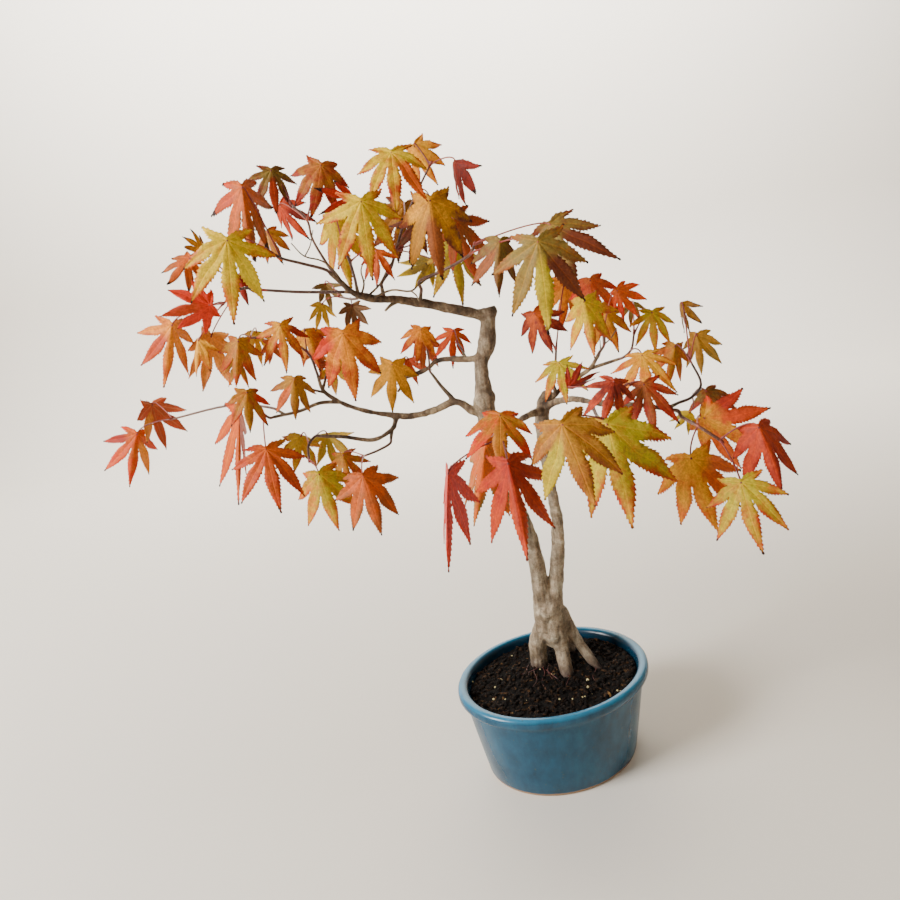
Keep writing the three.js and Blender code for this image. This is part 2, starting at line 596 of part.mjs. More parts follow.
function buildSpray(spray, number) {
  const stem = stopsOf(spray.stem);
  const direction = endDirection(sprayEnd(spray));
  const foot = stem[0].place.clone();
  stem[0].place.addScaledVector(direction, clearance + 0.05);
  const radius = stem[0].radius;
  const straight = { place: foot.clone().addScaledVector(direction, 2.5), radius };
  const pieces = [limb([stem[0], straight, ...stem.slice(1)], stemSides, 1)];
  spray.leaves.forEach((leaf, place) => {
    const frame = leafFrame(leaf);
    const seed = 10 * number + place + 1;
    const outline = leafOutline(leaf.lobes ?? 7, frame.length, seed, leaf.fold ?? sideFold);
    pieces.push(leafBlade(frame, outline));
    pieces.push(petiole(stem[leaf.hub].place, frame));
  });
  return { solid: wasm.Manifold.union(pieces), foot };
}

function rootStops(root) {
  const [start, knee] = stopsOf([root.from, root.knee]);
  const [x, y, radius] = root.foot;
  const foot = { place: new THREE.Vector3(x, y, soilLevel), radius };
  const out = new THREE.Vector3().subVectors(foot.place, start.place).setZ(0).multiplyScalar(0.25);
  const buried = {
    place: foot.place.clone().add(out).setZ(soilLevel - rootDepth),
    radius: 0.6 * radius,
  };
  return [start, knee, foot, buried];
}

function rootLimb(root, number, grow) {
  return limb(rootStops(root), rootSides, 2, branchGnarl, 70 + 10 * number, grow);
}

function buildWood() {
  const pieces = [limb(stopsOf(trunks.stump), trunkSides, 1, trunkGnarl, 5)];
  pieces.push(limb(stopsOf(trunks.left), trunkSides, 1, trunkGnarl, 21));
  pieces.push(limb(stopsOf(trunks.right), trunkSides, 1, trunkGnarl, 43));
  roots.forEach((root, number) => pieces.push(rootLimb(root, number, 0)));
  Object.values(branches).forEach((rows, number) => {
    const sides = rows[0][3] > 2.5 ? branchSides : twigSides;
    pieces.push(limb(stopsOf(rows), sides, 1, branchGnarl, 200 + 10 * number));
  });
  sprays.filter((spray) => spray.stub).forEach((spray) => {
    pieces.push(limb(stopsOf([spray.stub, spray.stem[0]]), twigSides, 1));
  });
  return wasm.Manifold.union(pieces);
}

// Pot profile, from the middle of the underside out, up, over the lip and down the inside
function potGeometry() {
  const lipBase = potHeight - lipDepth;
  const innerRim = rimRadius - lipWidth;
  const innerFoot = footRadius - potWall;
  const profile = [
    [0, 0], [footRadius - 2, 0], [footRadius, 2], [neckRadius - 0.5, lipBase - 3],
    [neckRadius, lipBase - 1], [rimRadius - 1, lipBase], [rimRadius, lipBase + 2],
    [rimRadius, potHeight - 1.8], [rimRadius - 2, potHeight], [innerRim + 2, potHeight],
    [innerRim, potHeight - 2], [neckRadius - potWall, lipBase - 6],
    [innerFoot + 1, potWall + 4], [innerFoot - 3, potWall], [0, potWall],
  ];
  return new THREE.LatheGeometry(profile.map(([x, z]) => new THREE.Vector2(x, z)), potSides)
    .rotateX(Math.PI / 2).scale(1, potRatio, 1);
}

function buildPot() {
  const hole = new THREE.CylinderGeometry(drainRadius, drainRadius, 3 * potWall, 16).rotateX(Math.PI / 2);
  const cutters = [-1, 1].map((side) => solidOf(hole.clone().translate(side * drainOffset, 0, 0)));
  return geometryOf(solidOf(potGeometry()).subtract(wasm.Manifold.union(cutters)));
}

// One net: a thin square plate with square holes in even rows
function buildNet() {
  const plate = new THREE.BoxGeometry(netSize, netSize, netDepth).translate(0, 0, netDepth / 2);
  const pitch = (netSize - netBar) / netHoles;
  const hole = new THREE.BoxGeometry(pitch - netBar, pitch - netBar, 4 * netDepth);
  const cutters = [];
  for (let column = 0; column < netHoles; column++) {
    for (let row = 0; row < netHoles; row++) {
      const middle = (netHoles - 1) / 2;
      cutters.push(solidOf(hole.clone().translate((column - middle) * pitch, (row - middle) * pitch, 0)));
    }
  }
  return geometryOf(solidOf(plate).subtract(wasm.Manifold.union(cutters)));
}

// Soil: it fills the pot up to a low mound round the stump, with a plain hole for each root and a pocket for
// each net
function buildSoil() {
  const lipBase = potHeight - lipDepth;
  const innerFoot = footRadius - potWall;
  const edge = neckRadius - potWall - 2 * clearance;
  const profile = [
    [0, potWall + clearance], [innerFoot - 3 - clearance, potWall + clearance],
    [innerFoot + 1 - 2 * clearance, potWall + 4], [edge, lipBase - 6], [edge + 1.3, soilLevel],
    [0.82 * edge, soilLevel], [0.62 * edge, soilLevel], [0.42 * edge, soilLevel], [0.22 * edge, soilLevel],
    [0, soilLevel],
  ];
  const geometry = new THREE.LatheGeometry(profile.map(([x, z]) => new THREE.Vector2(x, z)), potSides / 2)
    .rotateX(Math.PI / 2).scale(1, potRatio, 1).rotateZ(potTurn);
  const position = geometry.getAttribute('position');
  for (let i = 0; i < position.count; i++) {
    const [x, y, z] = [position.getX(i), position.getY(i), position.getZ(i)];
    if (z > soilLevel - 0.1) {
      const mound = soilMound * Math.exp(-((x - 12) ** 2 + (y - 14) ** 2) / 900);
      position.setZ(i, z + mound + soilBump * Math.sin(0.31 * x + 1) * Math.cos(0.27 * y));
    }
  }
  const cutters = roots.map((root, number) => rootLimb(root, number, clearance + 0.1));
  const pocketSize = netSize + 2 * clearance;
  for (const side of [-1, 1]) {
    const pocket = new THREE.BoxGeometry(pocketSize, pocketSize, 2 * (netDepth + clearance))
      .translate(side * drainOffset, 0, potWall + clearance).rotateZ(potTurn);
    cutters.push(solidOf(pocket));
  }
  return geometryOf(solidOf(geometry).subtract(wasm.Manifold.union(cutters)));
}

function named(name, geometry, colour, roughness) {
  const material = new THREE.MeshStandardMaterial({ color: colour, roughness, metalness: 0 });
  const mesh = new THREE.Mesh(geometry, material);
  mesh.name = name;
  return mesh;
}

const bonsai = new THREE.Group();

const potGroup = new THREE.Group();
potGroup.rotation.z = potTurn;
potGroup.add(named('pot', buildPot(), '#2f7390', 0.25));
[-1, 1].forEach((side) => {
  const net = named(side < 0 ? 'drain_net_left' : 'drain_net_right', buildNet(), '#2b2d2f', 0.6);
  net.position.set(side * drainOffset, 0, potWall + clearance);
  potGroup.add(net);
});
bonsai.add(potGroup);

bonsai.add(named('soil', buildSoil(), '#2e241c', 0.95));
bonsai.add(named('wood', geometryOf(buildWood()), '#a3937f', 0.85));

sprays.forEach((spray, number) => {
  const { solid, foot } = buildSpray(spray, number);
  const mesh = named(spray.name, geometryOf(solid).translate(-foot.x, -foot.y, -foot.z), spray.colour, 0.6);
  mesh.position.copy(foot);
  bonsai.add(mesh);
});

export default bonsai;
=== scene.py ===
import math

import bpy
import numpy as np
from mathutils import Matrix, Vector, kdtree, noise


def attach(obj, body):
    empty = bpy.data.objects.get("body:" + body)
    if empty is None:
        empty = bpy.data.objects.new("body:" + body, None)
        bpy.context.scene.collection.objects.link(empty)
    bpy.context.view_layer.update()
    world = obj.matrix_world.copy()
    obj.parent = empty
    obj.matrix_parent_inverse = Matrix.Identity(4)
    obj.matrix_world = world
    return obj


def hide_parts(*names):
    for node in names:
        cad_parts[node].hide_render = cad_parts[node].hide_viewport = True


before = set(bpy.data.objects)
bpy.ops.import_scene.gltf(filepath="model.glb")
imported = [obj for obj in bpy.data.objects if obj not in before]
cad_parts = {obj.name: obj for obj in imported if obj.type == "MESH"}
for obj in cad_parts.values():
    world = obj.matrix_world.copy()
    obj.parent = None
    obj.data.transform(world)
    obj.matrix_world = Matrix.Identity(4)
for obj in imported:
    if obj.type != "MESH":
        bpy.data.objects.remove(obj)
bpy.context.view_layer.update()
print("frame loaded,", len(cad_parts), "solids")

mm = 0.001  # the tables below are in millimetres

# The tree's places are read in one view of it: u to the right, v down, y the world's depth, all in this frame
view = {
    "eye": (-48, -454.5, 337),
    "pitch": 12.5,
    "roll": 8.95,
    "lens": 28, "sensor": 36,
    "frame": 900,  # its width in steps of u
}
focal, centre = view["frame"] * view["lens"] / view["sensor"], view["frame"] / 2  # in steps of u
pitch, roll = math.radians(view["pitch"]), math.radians(view["roll"])
eye = np.array(view["eye"], float)
forward = np.array((0, math.cos(pitch), -math.sin(pitch)))
right = np.array((1, 0, 0)) * math.cos(roll) + np.array((0, -math.sin(pitch), -math.cos(pitch))) * math.sin(roll)
down = np.cross(forward, right)


def seen(u, v, y):  # world place, in millimetres, of what is seen at u, v at the depth y
    ray = forward + right * (u - centre) / focal + down * (v - centre) / focal
    return eye + ray * (y - eye[1]) / ray[1]


def viewStops(rows):
    return [[*seen(u, v, y), radius] for u, v, y, radius in rows]


def draw(seed, place):  # a number from 0 to 1, the same on every run
    wave = math.sin(seed * 12.9898 + place * 78.233) * 43758.5453
    return wave - math.floor(wave)


def ease(values):  # 0 to 1 with soft ends
    held = np.clip(values, 0, 1)
    return held * held * (3 - 2 * held)


def tint(code):  # sRGB hex to linear
    parts = [int(code[i:i + 2], 16) / 255 for i in (1, 3, 5)]
    return tuple([c / 12.92 if c <= 0.04045 else ((c + 0.055) / 1.055) ** 2.4 for c in parts] + [1.0])


def only(piece):  # this piece alone is selected and active
    bpy.ops.object.select_all(action="DESELECT")
    piece.select_set(True)
    bpy.context.view_layer.objects.active = piece


def applied(piece, kind, **settings):  # a modifier, applied
    only(piece)
    bpy.ops.object.modifier_add(type=kind)
    modifier = piece.modifiers[-1]
    for name, value in settings.items():
        setattr(modifier, name, value)
    bpy.ops.object.modifier_apply(modifier=modifier.name)


def joined(pieces, name):
    only(pieces[0])
    for piece in pieces:
        piece.select_set(True)
    if len(pieces) > 1:
        bpy.ops.object.join()
    pieces[0].name = name
    return pieces[0]


def cleaned(piece, distance):  # doubles merged, faces outwards
    only(piece)
    bpy.ops.object.mode_set(mode="EDIT")
    bpy.ops.mesh.select_all(action="SELECT")
    bpy.ops.mesh.remove_doubles(threshold=distance)
    bpy.ops.mesh.normals_make_consistent(inside=False)
    bpy.ops.object.mode_set(mode="OBJECT")


def smoothed(piece, degrees=None):
    only(piece)
    if degrees is None:
        bpy.ops.object.shade_smooth()
    else:
        bpy.ops.object.shade_smooth_by_angle(angle=math.radians(degrees))


def noted(mesh, name, values, kind="FLOAT_COLOR"):  # a value for each vertex
    layer = mesh.attributes.new(name, kind, "POINT")
    field = "color" if kind == "FLOAT_COLOR" else "value"
    layer.data.foreach_set(field, np.array(values, np.int32 if kind == "INT" else np.float32).ravel())


def finished(piece, node):
    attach(piece, "root")
    if node:
        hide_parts(node)
    print("made", piece.name, len(piece.data.polygons), "faces")


def wired(tree, node, settings):  # a node's settings, and a link from each node or socket among them
    for name, value in settings.items():
        if isinstance(value, bpy.types.Node):
            value = next(socket for socket in value.outputs if socket.enabled)
        if isinstance(value, str) and value[0] == "#":
            value = tint(value)
        if isinstance(value, bpy.types.NodeSocket):
            tree.links.new(value, node.inputs[name])
        elif name == "ramp":
            bar = node.color_ramp.elements
            while len(bar) < len(value):
                bar.new(0.5)
            for stop, (place, code) in zip(bar, value):
                stop.position = place
                stop.color = tint(code)
        elif f"{name} Min" in node.inputs:
            node.inputs[f"{name} Min"].default_value, node.inputs[f"{name} Max"].default_value = value
        elif isinstance(name, int) or name in node.inputs:
            node.inputs[name].default_value = value
        else:
            setattr(node, name, value)


def added(tree, kind, settings):
    node = tree.nodes.new("ShaderNode" + kind)
    wired(tree, node, settings)
    return node


def newMaterial(name, settings):  # a material, its shader and the place on the piece that its patterns follow
    material = bpy.data.materials.new(name)
    material.use_nodes = True
    tree = material.node_tree
    tree.nodes.clear()
    shader = added(tree, "BsdfPrincipled", settings)
    added(tree, "OutputMaterial", {"Surface": shader})
    return material, tree, shader, added(tree, "TexCoord", {}).outputs["Object"]


def surfaced(tree, shader, colour, height, strength, depth):  # its colour and a relief of this depth
    bump = added(tree, "Bump", {"Strength": strength, "Distance": depth * mm, "Height": height})
    wired(tree, shader, {"Base Color": colour, "Normal": bump})


# Leaf colours as they turn: green goes first at the lobes' tips and margins
leafTints = {
    "yellowGreen": "#ad9916", "olive": "#7f682a", "yellow": "#d2af16", "paleYellow": "#ecce26", "gold": "#d49316",
    "ochre": "#a6711b", "lightOrange": "#e2861c", "orange": "#c05413", "pinkOrange": "#c55e29",
    "brownOrange": "#8d4b1c", "redOrange": "#ae3a12", "vermilion": "#c82f0a", "red": "#90220e",
    "pink": "#bb3e3a", "deepRed": "#6a1b0d", "redBrown": "#6a3019", "brown": "#5e3d26",
}


def leafMaterial(name, upper):
    # Thin autumn leaf that has lost most of its gloss: colour turns from the vein ribs to the margins in soft clouds,
    # ribs show as fine paler lines, and the dried tips go nearly black
    material, tree, shader, place = newMaterial(name, {"Roughness": 0.6 if upper else 0.75, "IOR": 1.42,
                                                       "Specular IOR Level": 0.3})
    split = added(tree, "SeparateXYZ", {0: added(tree, "UVMap", {"uv_map": "lobe"})})
    heart, rim, leafMap = [added(tree, "Attribute", {"attribute_name": layer}) for layer in ("heart", "rim", "leafMap")]
    chart = added(tree, "SeparateColor", {0: leafMap})
    # clouds from 8 mm down to 1 mm shift how far the colour has turned
    clouds = added(tree, "TexNoise", {"Scale": 125, "Detail": 5, "Roughness": 0.68, "Vector": place})
    shift = added(tree, "MapRange", {"Value": clouds, "From": (0.32, 0.68), "To": (-0.55, 0.55)})
    turned = added(tree, "Math", {"operation": "ADD", "use_clamp": True, 0: chart, 1: shift})
    body = added(tree, "Mix", {"data_type": "RGBA", 0: turned, 6: heart, 7: rim})
    # 1.5 mm mottling between the finest veins
    mottle = added(tree, "TexNoise", {"Scale": 650, "Detail": 2, "Roughness": 0.7, "Vector": place})
    shade = added(tree, "MapRange", {"Value": mottle, "From": (0.25, 0.75), "To": (0.62, 1.26)})
    toned = added(tree, "VectorMath", {"operation": "SCALE", 0: body, "Scale": shade})
    # ribs: the middle rib along each lobe and side ribs that leave it at about 40 degrees
    aside = added(tree, "Math", {"operation": "ABSOLUTE", 0: split})
    middle = added(tree, "MapRange", {"Value": aside, "From": (0.004, 0.013), "To": (1, 0)})
    slant = added(tree, "Math", {"operation": "MULTIPLY_ADD", 0: aside, 1: -1.25, 2: split.outputs["Y"]})
    pace = added(tree, "Math", {"operation": "DIVIDE", 0: slant, 1: 0.078})
    wave = added(tree, "Math", {"operation": "PINGPONG", 0: pace, 1: 0.5})
    sideRib = added(tree, "MapRange", {"Value": wave, "From": (0.02, 0.13), "To": (0.55, 0.0)})
    ribs = added(tree, "Math", {"operation": "MAXIMUM", 0: middle, 1: sideRib})
    ribShare = added(tree, "Math", {"operation": "MULTIPLY", 0: ribs, 1: 0.6 if upper else 0.35})
    ribTone = added(tree, "Mix", {"data_type": "RGBA", "blend_type": "SOFT_LIGHT" if upper else "SCREEN",
                                  0: ribShare, 6: toned, 7: "#f2d9a0" if upper else "#a88658"})
    # dried tips and a few dark flecks
    flecks = added(tree, "TexNoise", {"Scale": 420, "Detail": 1, "Vector": place})
    dryness = added(tree, "Math", {"operation": "MULTIPLY_ADD", 0: flecks, 1: 0.55, 2: chart.outputs["Green"]})
    dry = added(tree, "MapRange", {"Value": dryness, "From": (0.62, 0.86)})
    colour = added(tree, "Mix", {"data_type": "RGBA", 0: dry, 6: ribTone, 7: "#2a1410"})
    if not upper:
        colour = added(tree, "Mix", {"data_type": "RGBA", 0: 0.14, 6: colour, 7: "#c4a070"})
    height = added(tree, "Math", {"operation": "MULTIPLY_ADD", 0: ribs, 1: -0.6 if upper else 0.8, 2: mottle})
    surfaced(tree, shader, colour, height, 0.45, 0.4)
    return material


leafSides = [leafMaterial("mapleLeafUpper", True), leafMaterial("mapleLeafUnder", False)]

# Four blades are modelled, with 7 lobes or 5 and with shallow or deep notches, and every leaf is a copy of one.
# Lengths are in parts of the middle lobe, and angles in degrees.
leafShape = {
    # each lobe's width along its free part, in parts of its half width
    "width": [(0, 0.9), (0.14, 0.98), (0.3, 1), (0.45, 0.92), (0.6, 0.72), (0.74, 0.46), (0.85, 0.25), (0.93, 0.115),
              (1, 0)],
    # how deep the notches run and how wide the lobes are, against the middle of the range
    "cuts": {"shallow": (1.03, 1.0), "deep": (0.76, 0.9)}, "shallowShare": 0.55,
    # angle from the middle lobe, reach, half width, depth of the notch beyond it, and teeth along each side
    "lobes": [
        {"angle": 0, "reach": 1, "half": 0.115, "sinus": 0.36, "teeth": 13},
        {"angle": 33, "reach": 0.87, "half": 0.11, "sinus": 0.33, "teeth": 12},
        {"angle": 69, "reach": 0.62, "half": 0.082, "sinus": 0.24, "teeth": 9},
        {"angle": 113, "reach": 0.34, "half": 0.05, "sinus": 0.12, "teeth": 5},
    ],
    "notch": 0.045, "fusedRows": 4, "flare": 0.3, "merge": 0.0008,
    "toothOut": 0.015, "toothOn": 0.024, "toothSizes": (0.25, 1.5), "toothGap": 0.3,
    "rimLift": 0.02, "lobeLift": 0.012,
    "depth": 0.35,  # millimetres
    "droop": 0.16, "cup": 0.15,
    # how much one leaf's lobes differ from another's
    "wander": 10, "unequal": 0.14, "sickle": 0.1, "ripple": 0.011, "twist": 0.5, "uneven": 0.18,
    # how much of a lobe is its curling tip, and how tightly that curls, both also for each part of dryness
    "tip": 0.14, "dryTip": 0.3, "curl": 0.5, "dryCurl": 2.6, "curlUnder": 0.35,
    # how far colour has turned at the heart, and how much further at the lobes' ends and along the margins
    "late": -0.45, "lateEnds": 0.7, "lateMargins": 0.8,
    # where dryness starts along a lobe, how far it comes in and how soft its border is
    "dryFrom": 0.9, "dryReach": 0.28, "dryBorder": (0.08, 0.2),
}


def lobeCorner(place, side, pairs, cut):  # where a lobe's free margin starts, in the lobe's own along and aside
    lobes = leafShape["lobes"]
    here = lobes[abs(place)]
    sign = 1 if place > 0 else -1
    if place and side * sign > 0:
        inner = lobes[abs(place) - 1]
        half, reach = math.radians((here["angle"] - inner["angle"]) / 2), inner["sinus"]
    elif abs(place) < pairs:
        half, reach = math.radians((lobes[abs(place) + 1]["angle"] - here["angle"]) / 2), here["sinus"]
    else:
        half, reach = math.radians(180 - here["angle"]), leafShape["notch"]
    reach *= leafShape["cuts"][cut][0]
    return reach * math.cos(half), reach * math.sin(half)


def lobeBlank(place, pairs, cut):
    here = leafShape["lobes"][abs(place)]
    fused, teeth, flare = leafShape["fusedRows"], here["teeth"], leafShape["flare"]
    rows = fused + 2 * teeth + 2
    bpy.ops.mesh.primitive_grid_add(x_subdivisions=4, y_subdivisions=rows - 1, size=2)
    lobe = bpy.context.object
    angle = math.radians(here["angle"]) * (-1 if place > 0 else 1)
    ends = {side: lobeCorner(place, side, pairs, cut) for side in (-1, 1)}
    widest = here["half"] * leafShape["cuts"][cut][1]
    stops, shares = zip(*leafShape["width"])
    rootRow = 0.5 * (ends[-1][0] + ends[1][0])
    least, spread = leafShape["toothSizes"]
    spots = []
    for vertex in lobe.data.vertices:
        part = vertex.co.x
        row = round((vertex.co.y + 1) / 2 * (rows - 1))
        side = 1 if part > 0 else -1
        share = abs(part)
        endAlong, endAside = ends[side]
        if row <= fused:
            f = row / fused
            along = f * (rootRow + (endAlong - rootRow) * share)
            aside = f * endAside * part
            lift = leafShape["rimLift"] * f * share ** 1.5
        else:
            step = row - fused
            q = step / (2 * teeth + 1)
            along = endAlong + (here["reach"] - endAlong) * q
            middle = rootRow + (here["reach"] - rootRow) * q
            if q > flare:
                width = widest * np.interp(q, stops, shares)
            else:
                width = widest + (endAside - widest) * (1 - ease(q / flare))
            edge, onward = 0, 0
            if row < rows - 1:
                tooth = leafShape["toothOut"] * (1 - 0.5 * q) * (least + spread * draw(place * 7 + side, step))
                if step % 2 == 1:
                    edge = width - leafShape["toothGap"] * tooth
                else:
                    edge, onward = width + tooth, leafShape["toothOn"] * (1 - 0.4 * q)
            along = min(middle + (along + onward - middle) * share ** 2, here["reach"])
            aside = part * (width if share < 1 else edge)
            lift = (leafShape["rimLift"] + leafShape["lobeLift"] * math.sin(math.pi * q)) * (1 - q) * share ** 1.5
        vertex.co = (along * math.sin(angle) + aside * math.cos(angle),
                     along * math.cos(angle) - aside * math.sin(angle), lift)
        spots.append((along, aside, share, 1))
    uv = lobe.data.uv_layers.active
    uv.name = "lobe"
    for loop in lobe.data.loops:
        uv.data[loop.index].uv = spots[loop.vertex_index][1], spots[loop.vertex_index][0]
    noted(lobe.data, "spot", spots)
    noted(lobe.data, "lobeNumber", [place] * len(spots), "INT")
    return lobe


def bladeBlank(lobeCount, cut):
    pairs = (lobeCount - 1) // 2
    blank = joined([lobeBlank(place, pairs, cut) for place in range(-pairs, pairs + 1)], f"blade{lobeCount}{cut}")
    cleaned(blank, leafShape["merge"])
    if sum(face.normal.z for face in blank.data.polygons) < 0:
        blank.data.flip_normals()
    blank.hide_render = True
    return blank


blades = {(count, cut): bladeBlank(count, cut) for count in (7, 5) for cut in leafShape["cuts"]}
print("blades modelled,", [len(blade.data.polygons) for blade in blades.values()], "faces")


def leafFrame(leaf):  # where a leaf lies: its junction, length and own directions
    junction = seen(leaf["u"], leaf["v"], leaf["y"])
    toEye = (eye - junction) / np.linalg.norm(eye - junction)
    flat = right * (leaf["tipU"] - leaf["u"]) + down * (leaf["tipV"] - leaf["v"])
    lean, turn = math.radians(leaf["lean"]), math.radians(leaf["turn"])
    length = np.linalg.norm(flat) * ((junction - eye) @ forward) / focal / math.cos(lean)
    flat = flat - toEye * (flat @ toEye)
    flat /= np.linalg.norm(flat)
    along = flat * math.cos(lean) + toEye * math.sin(lean)
    facing = toEye * math.cos(lean) - flat * math.sin(lean)
    aside = np.cross(along, facing)
    normal = facing * math.cos(turn) + aside * math.sin(turn)
    return {"junction": junction, "length": length, "along": along, "normal": normal, "across": np.cross(along, normal)}


def grownLeaf(leaf, seed):  # a copy of one of the blades, bent and coloured as this leaf
    more, dry = leaf["more"], leaf["dry"]
    cut = "deep" if draw(seed, 1) > leafShape["shallowShare"] else "shallow"
    blank = blades[more.get("lobes", 7), cut]
    piece = blank.copy()
    piece.data = blank.data.copy()
    piece.hide_render = False
    bpy.context.collection.objects.link(piece)
    mesh = piece.data
    count = len(mesh.vertices)
    co, spot, number = np.zeros(count * 3, np.float32), np.zeros(count * 4, np.float32), np.zeros(count, np.int32)
    mesh.vertices.foreach_get("co", co)
    mesh.attributes["spot"].data.foreach_get("color", spot)
    mesh.attributes["lobeNumber"].data.foreach_get("value", number)
    co = co.reshape(-1, 3).astype(float)
    d, h, edge = spot.reshape(-1, 4).T[:3].astype(float)  # along and aside in its own lobe, and how near the margin
    lift = co[:, 2].copy()
    heart, rim = [np.tile(tint(leafTints[leaf[part]]), (count, 1)) for part in ("heart", "rim")]
    chart = np.zeros((count, 4))
    chart[:, 3] = 1
    for lobe in sorted(set(number)):
        own = number == lobe
        shape = leafShape["lobes"][abs(lobe)]
        wander = 0 if lobe == 0 else math.radians(leafShape["wander"] * (draw(seed, lobe + 9) - 0.5))
        ratio = 1 + leafShape["unequal"] * (draw(seed, lobe + 19) - 0.5) * (lobe != 0)
        droop = leafShape["droop"] * (0.6 + 0.8 * draw(seed, lobe + 29))
        sickle = leafShape["sickle"] * (draw(seed, lobe + 39) - 0.5)
        start = leafShape["lobes"][max(abs(lobe) - 1, 0)]["sinus"] * leafShape["cuts"][cut][0]
        free = np.clip((d[own] - start) / (shape["reach"] - start), 0, 1)
        along = d[own] + (ratio - 1) * shape["reach"] * free
        aside = h[own] + sickle * free ** 2
        # a dried tip curls under or up, tighter where it is drier
        hang = -droop * along ** 2
        curl = (draw(seed, lobe + 49) - leafShape["curlUnder"]) * (leafShape["curl"] + leafShape["dryCurl"] * dry)
        tip = leafShape["tip"] + leafShape["dryTip"] * dry
        tail = np.clip((free - (1 - tip)) / tip, 0, 1)
        turnBy = curl * tail
        bent = np.where(np.abs(turnBy) > 1e-4, turnBy, 1)
        run = (shape["reach"] - start) * tip * tail
        along = along - run * (1 - np.sinc(turnBy / math.pi))
        hang = hang + run * np.where(np.abs(turnBy) > 1e-4, (1 - np.cos(turnBy)) / bent, 0)
        angle = -np.sign(lobe) * math.radians(shape["angle"]) + wander * ease(3 * free)
        # edges ripple a little, and the lobe twists about its rib
        ripple = leafShape["ripple"] * np.sin(17 * d[own] + 6 * draw(seed, lobe + 59) + 2 * np.sign(h[own]))
        twist = leafShape["twist"] * (draw(seed, lobe + 69) - 0.5) * free
        x = along * np.sin(angle) + aside * np.cos(angle)
        co[own, 0], co[own, 1] = x, along * np.cos(angle) - aside * np.sin(angle)
        co[own, 2] = (lift[own] + hang + ripple * edge[own] ** 2 * ease(4 * free) + aside * twist
                      - leafShape["cup"] * x * x)
        # how far it has turned, from ribs to margins and from the heart to the tips
        late = leaf["ripe"] + leafShape["late"] + leafShape["uneven"] * (draw(seed, lobe + 79) - 0.5)
        late = late + leafShape["lateEnds"] * (d[own] / shape["reach"]) ** 1.3
        chart[own, 0] = np.clip(late + leafShape["lateMargins"] * edge[own] ** 3 * ease(2 * free), 0, 1)
        reached = free + 0.1 * edge[own] * (draw(seed, lobe + 89) - 0.3)
        border = leafShape["dryBorder"][0] + leafShape["dryBorder"][1] * dry
        dried = (reached - leafShape["dryFrom"] + leafShape["dryReach"] * dry) / border
        chart[own, 1] = np.clip(dried, 0, 1) * min(1, 0.4 + dry)
        if lobe in more:
            mix = ease((d[own] - 0.1) / 0.2)[:, None]
            named = np.array(tint(leafTints[more[lobe]]))
            heart[own] = heart[own] * (1 - mix) + named * mix
            rim[own] = rim[own] * (1 - 0.7 * mix) + named * 0.7 * mix
    fold = math.radians(leaf["fold"])
    co[:, 2] -= np.abs(co[:, 0]) * math.sin(fold)
    co[:, 0] *= math.cos(fold)
    lie = leafFrame(leaf)
    grown = co[:, :1] * lie["across"] + co[:, 1:2] * lie["along"] + co[:, 2:] * lie["normal"]
    world = lie["junction"] + lie["length"] * grown
    mesh.vertices.foreach_set("co", (world * mm).astype(np.float32).ravel())
    for name in ("spot", "lobeNumber"):
        mesh.attributes.remove(mesh.attributes[name])
    for name, values in (("heart", heart), ("rim", rim), ("leafMap", chart)):
        noted(mesh, name, values)
    for side in leafSides:
        mesh.materials.append(side)
    mesh.update()
    applied(piece, "SOLIDIFY", thickness=leafShape["depth"] * mm, offset=-1, material_offset=1, material_offset_rim=0)
    return piece, lie


def flow(stops, spans=6):  # rows of x, y, z, radius along a smooth line through the stops
    rows = np.array(stops, float)
    points = np.vstack([2 * rows[0] - rows[1], rows, 2 * rows[-1] - rows[-2]])
    line = []
    for i in range(1, len(points) - 2):
        a, b, c, e = points[i - 1:i + 3, :3]
        gaps = [max(np.linalg.norm(q - p) ** 0.5, 1e-6) for p, q in ((a, b), (b, c), (c, e))]
        leave = ((b - a) / gaps[0] - (c - a) / (gaps[0] + gaps[1]) + (c - b) / gaps[1]) * gaps[1]
        reach = ((c - b) / gaps[1] - (e - b) / (gaps[1] + gaps[2]) + (e - c) / gaps[2]) * gaps[1]
        for t in np.arange(spans) / spans:
            place = ((2 * t ** 3 - 3 * t ** 2 + 1) * b + (t ** 3 - 2 * t ** 2 + t) * leave
                     + (3 * t ** 2 - 2 * t ** 3) * c + (t ** 3 - t ** 2) * reach)
            line.append([*place, points[i][3] + (points[i + 1][3] - points[i][3]) * t])
    line.append(rows[-1])
    return np.array(line)


def nearest(lines):  # a search over the rows of all the lines, each known by its line's number
    tree = kdtree.KDTree(sum(len(line) for line in lines))
    for i, line in enumerate(lines):
        for row in line:
            tree.insert(Vector(row[:3] * mm), i)
    tree.balance()
    return tree


def tubes(name, lines, roundness=2, tints=None):  # one mesh of round tubes, each through its own rows
    bpy.ops.object.select_all(action="DESELECT")
    bpy.ops.curve.primitive_nurbs_path_add()
    piece = bpy.context.object
    piece.name = name
    curve = piece.data
    curve.splines.clear()
    for line in lines:
        spline = curve.splines.new("POLY")
        spline.points.add(len(line) - 1)
        places = np.hstack([line[:, :3] * mm, np.ones((len(line), 1))])
        spline.points.foreach_set("co", places.astype(np.float32).ravel())
        spline.points.foreach_set("radius", line[:, 3].astype(np.float32))
    curve.bevel_depth = mm
    curve.bevel_resolution = roundness
    curve.use_fill_caps = True
    bpy.ops.object.convert(target="MESH")
    piece = bpy.context.object
    cleaned(piece, 0.001 * mm)
    if tints:
        tree = nearest(lines)
        noted(piece.data, "heart", [tint(tints[tree.find(vertex.co)[1]]) for vertex in piece.data.vertices])
    return piece


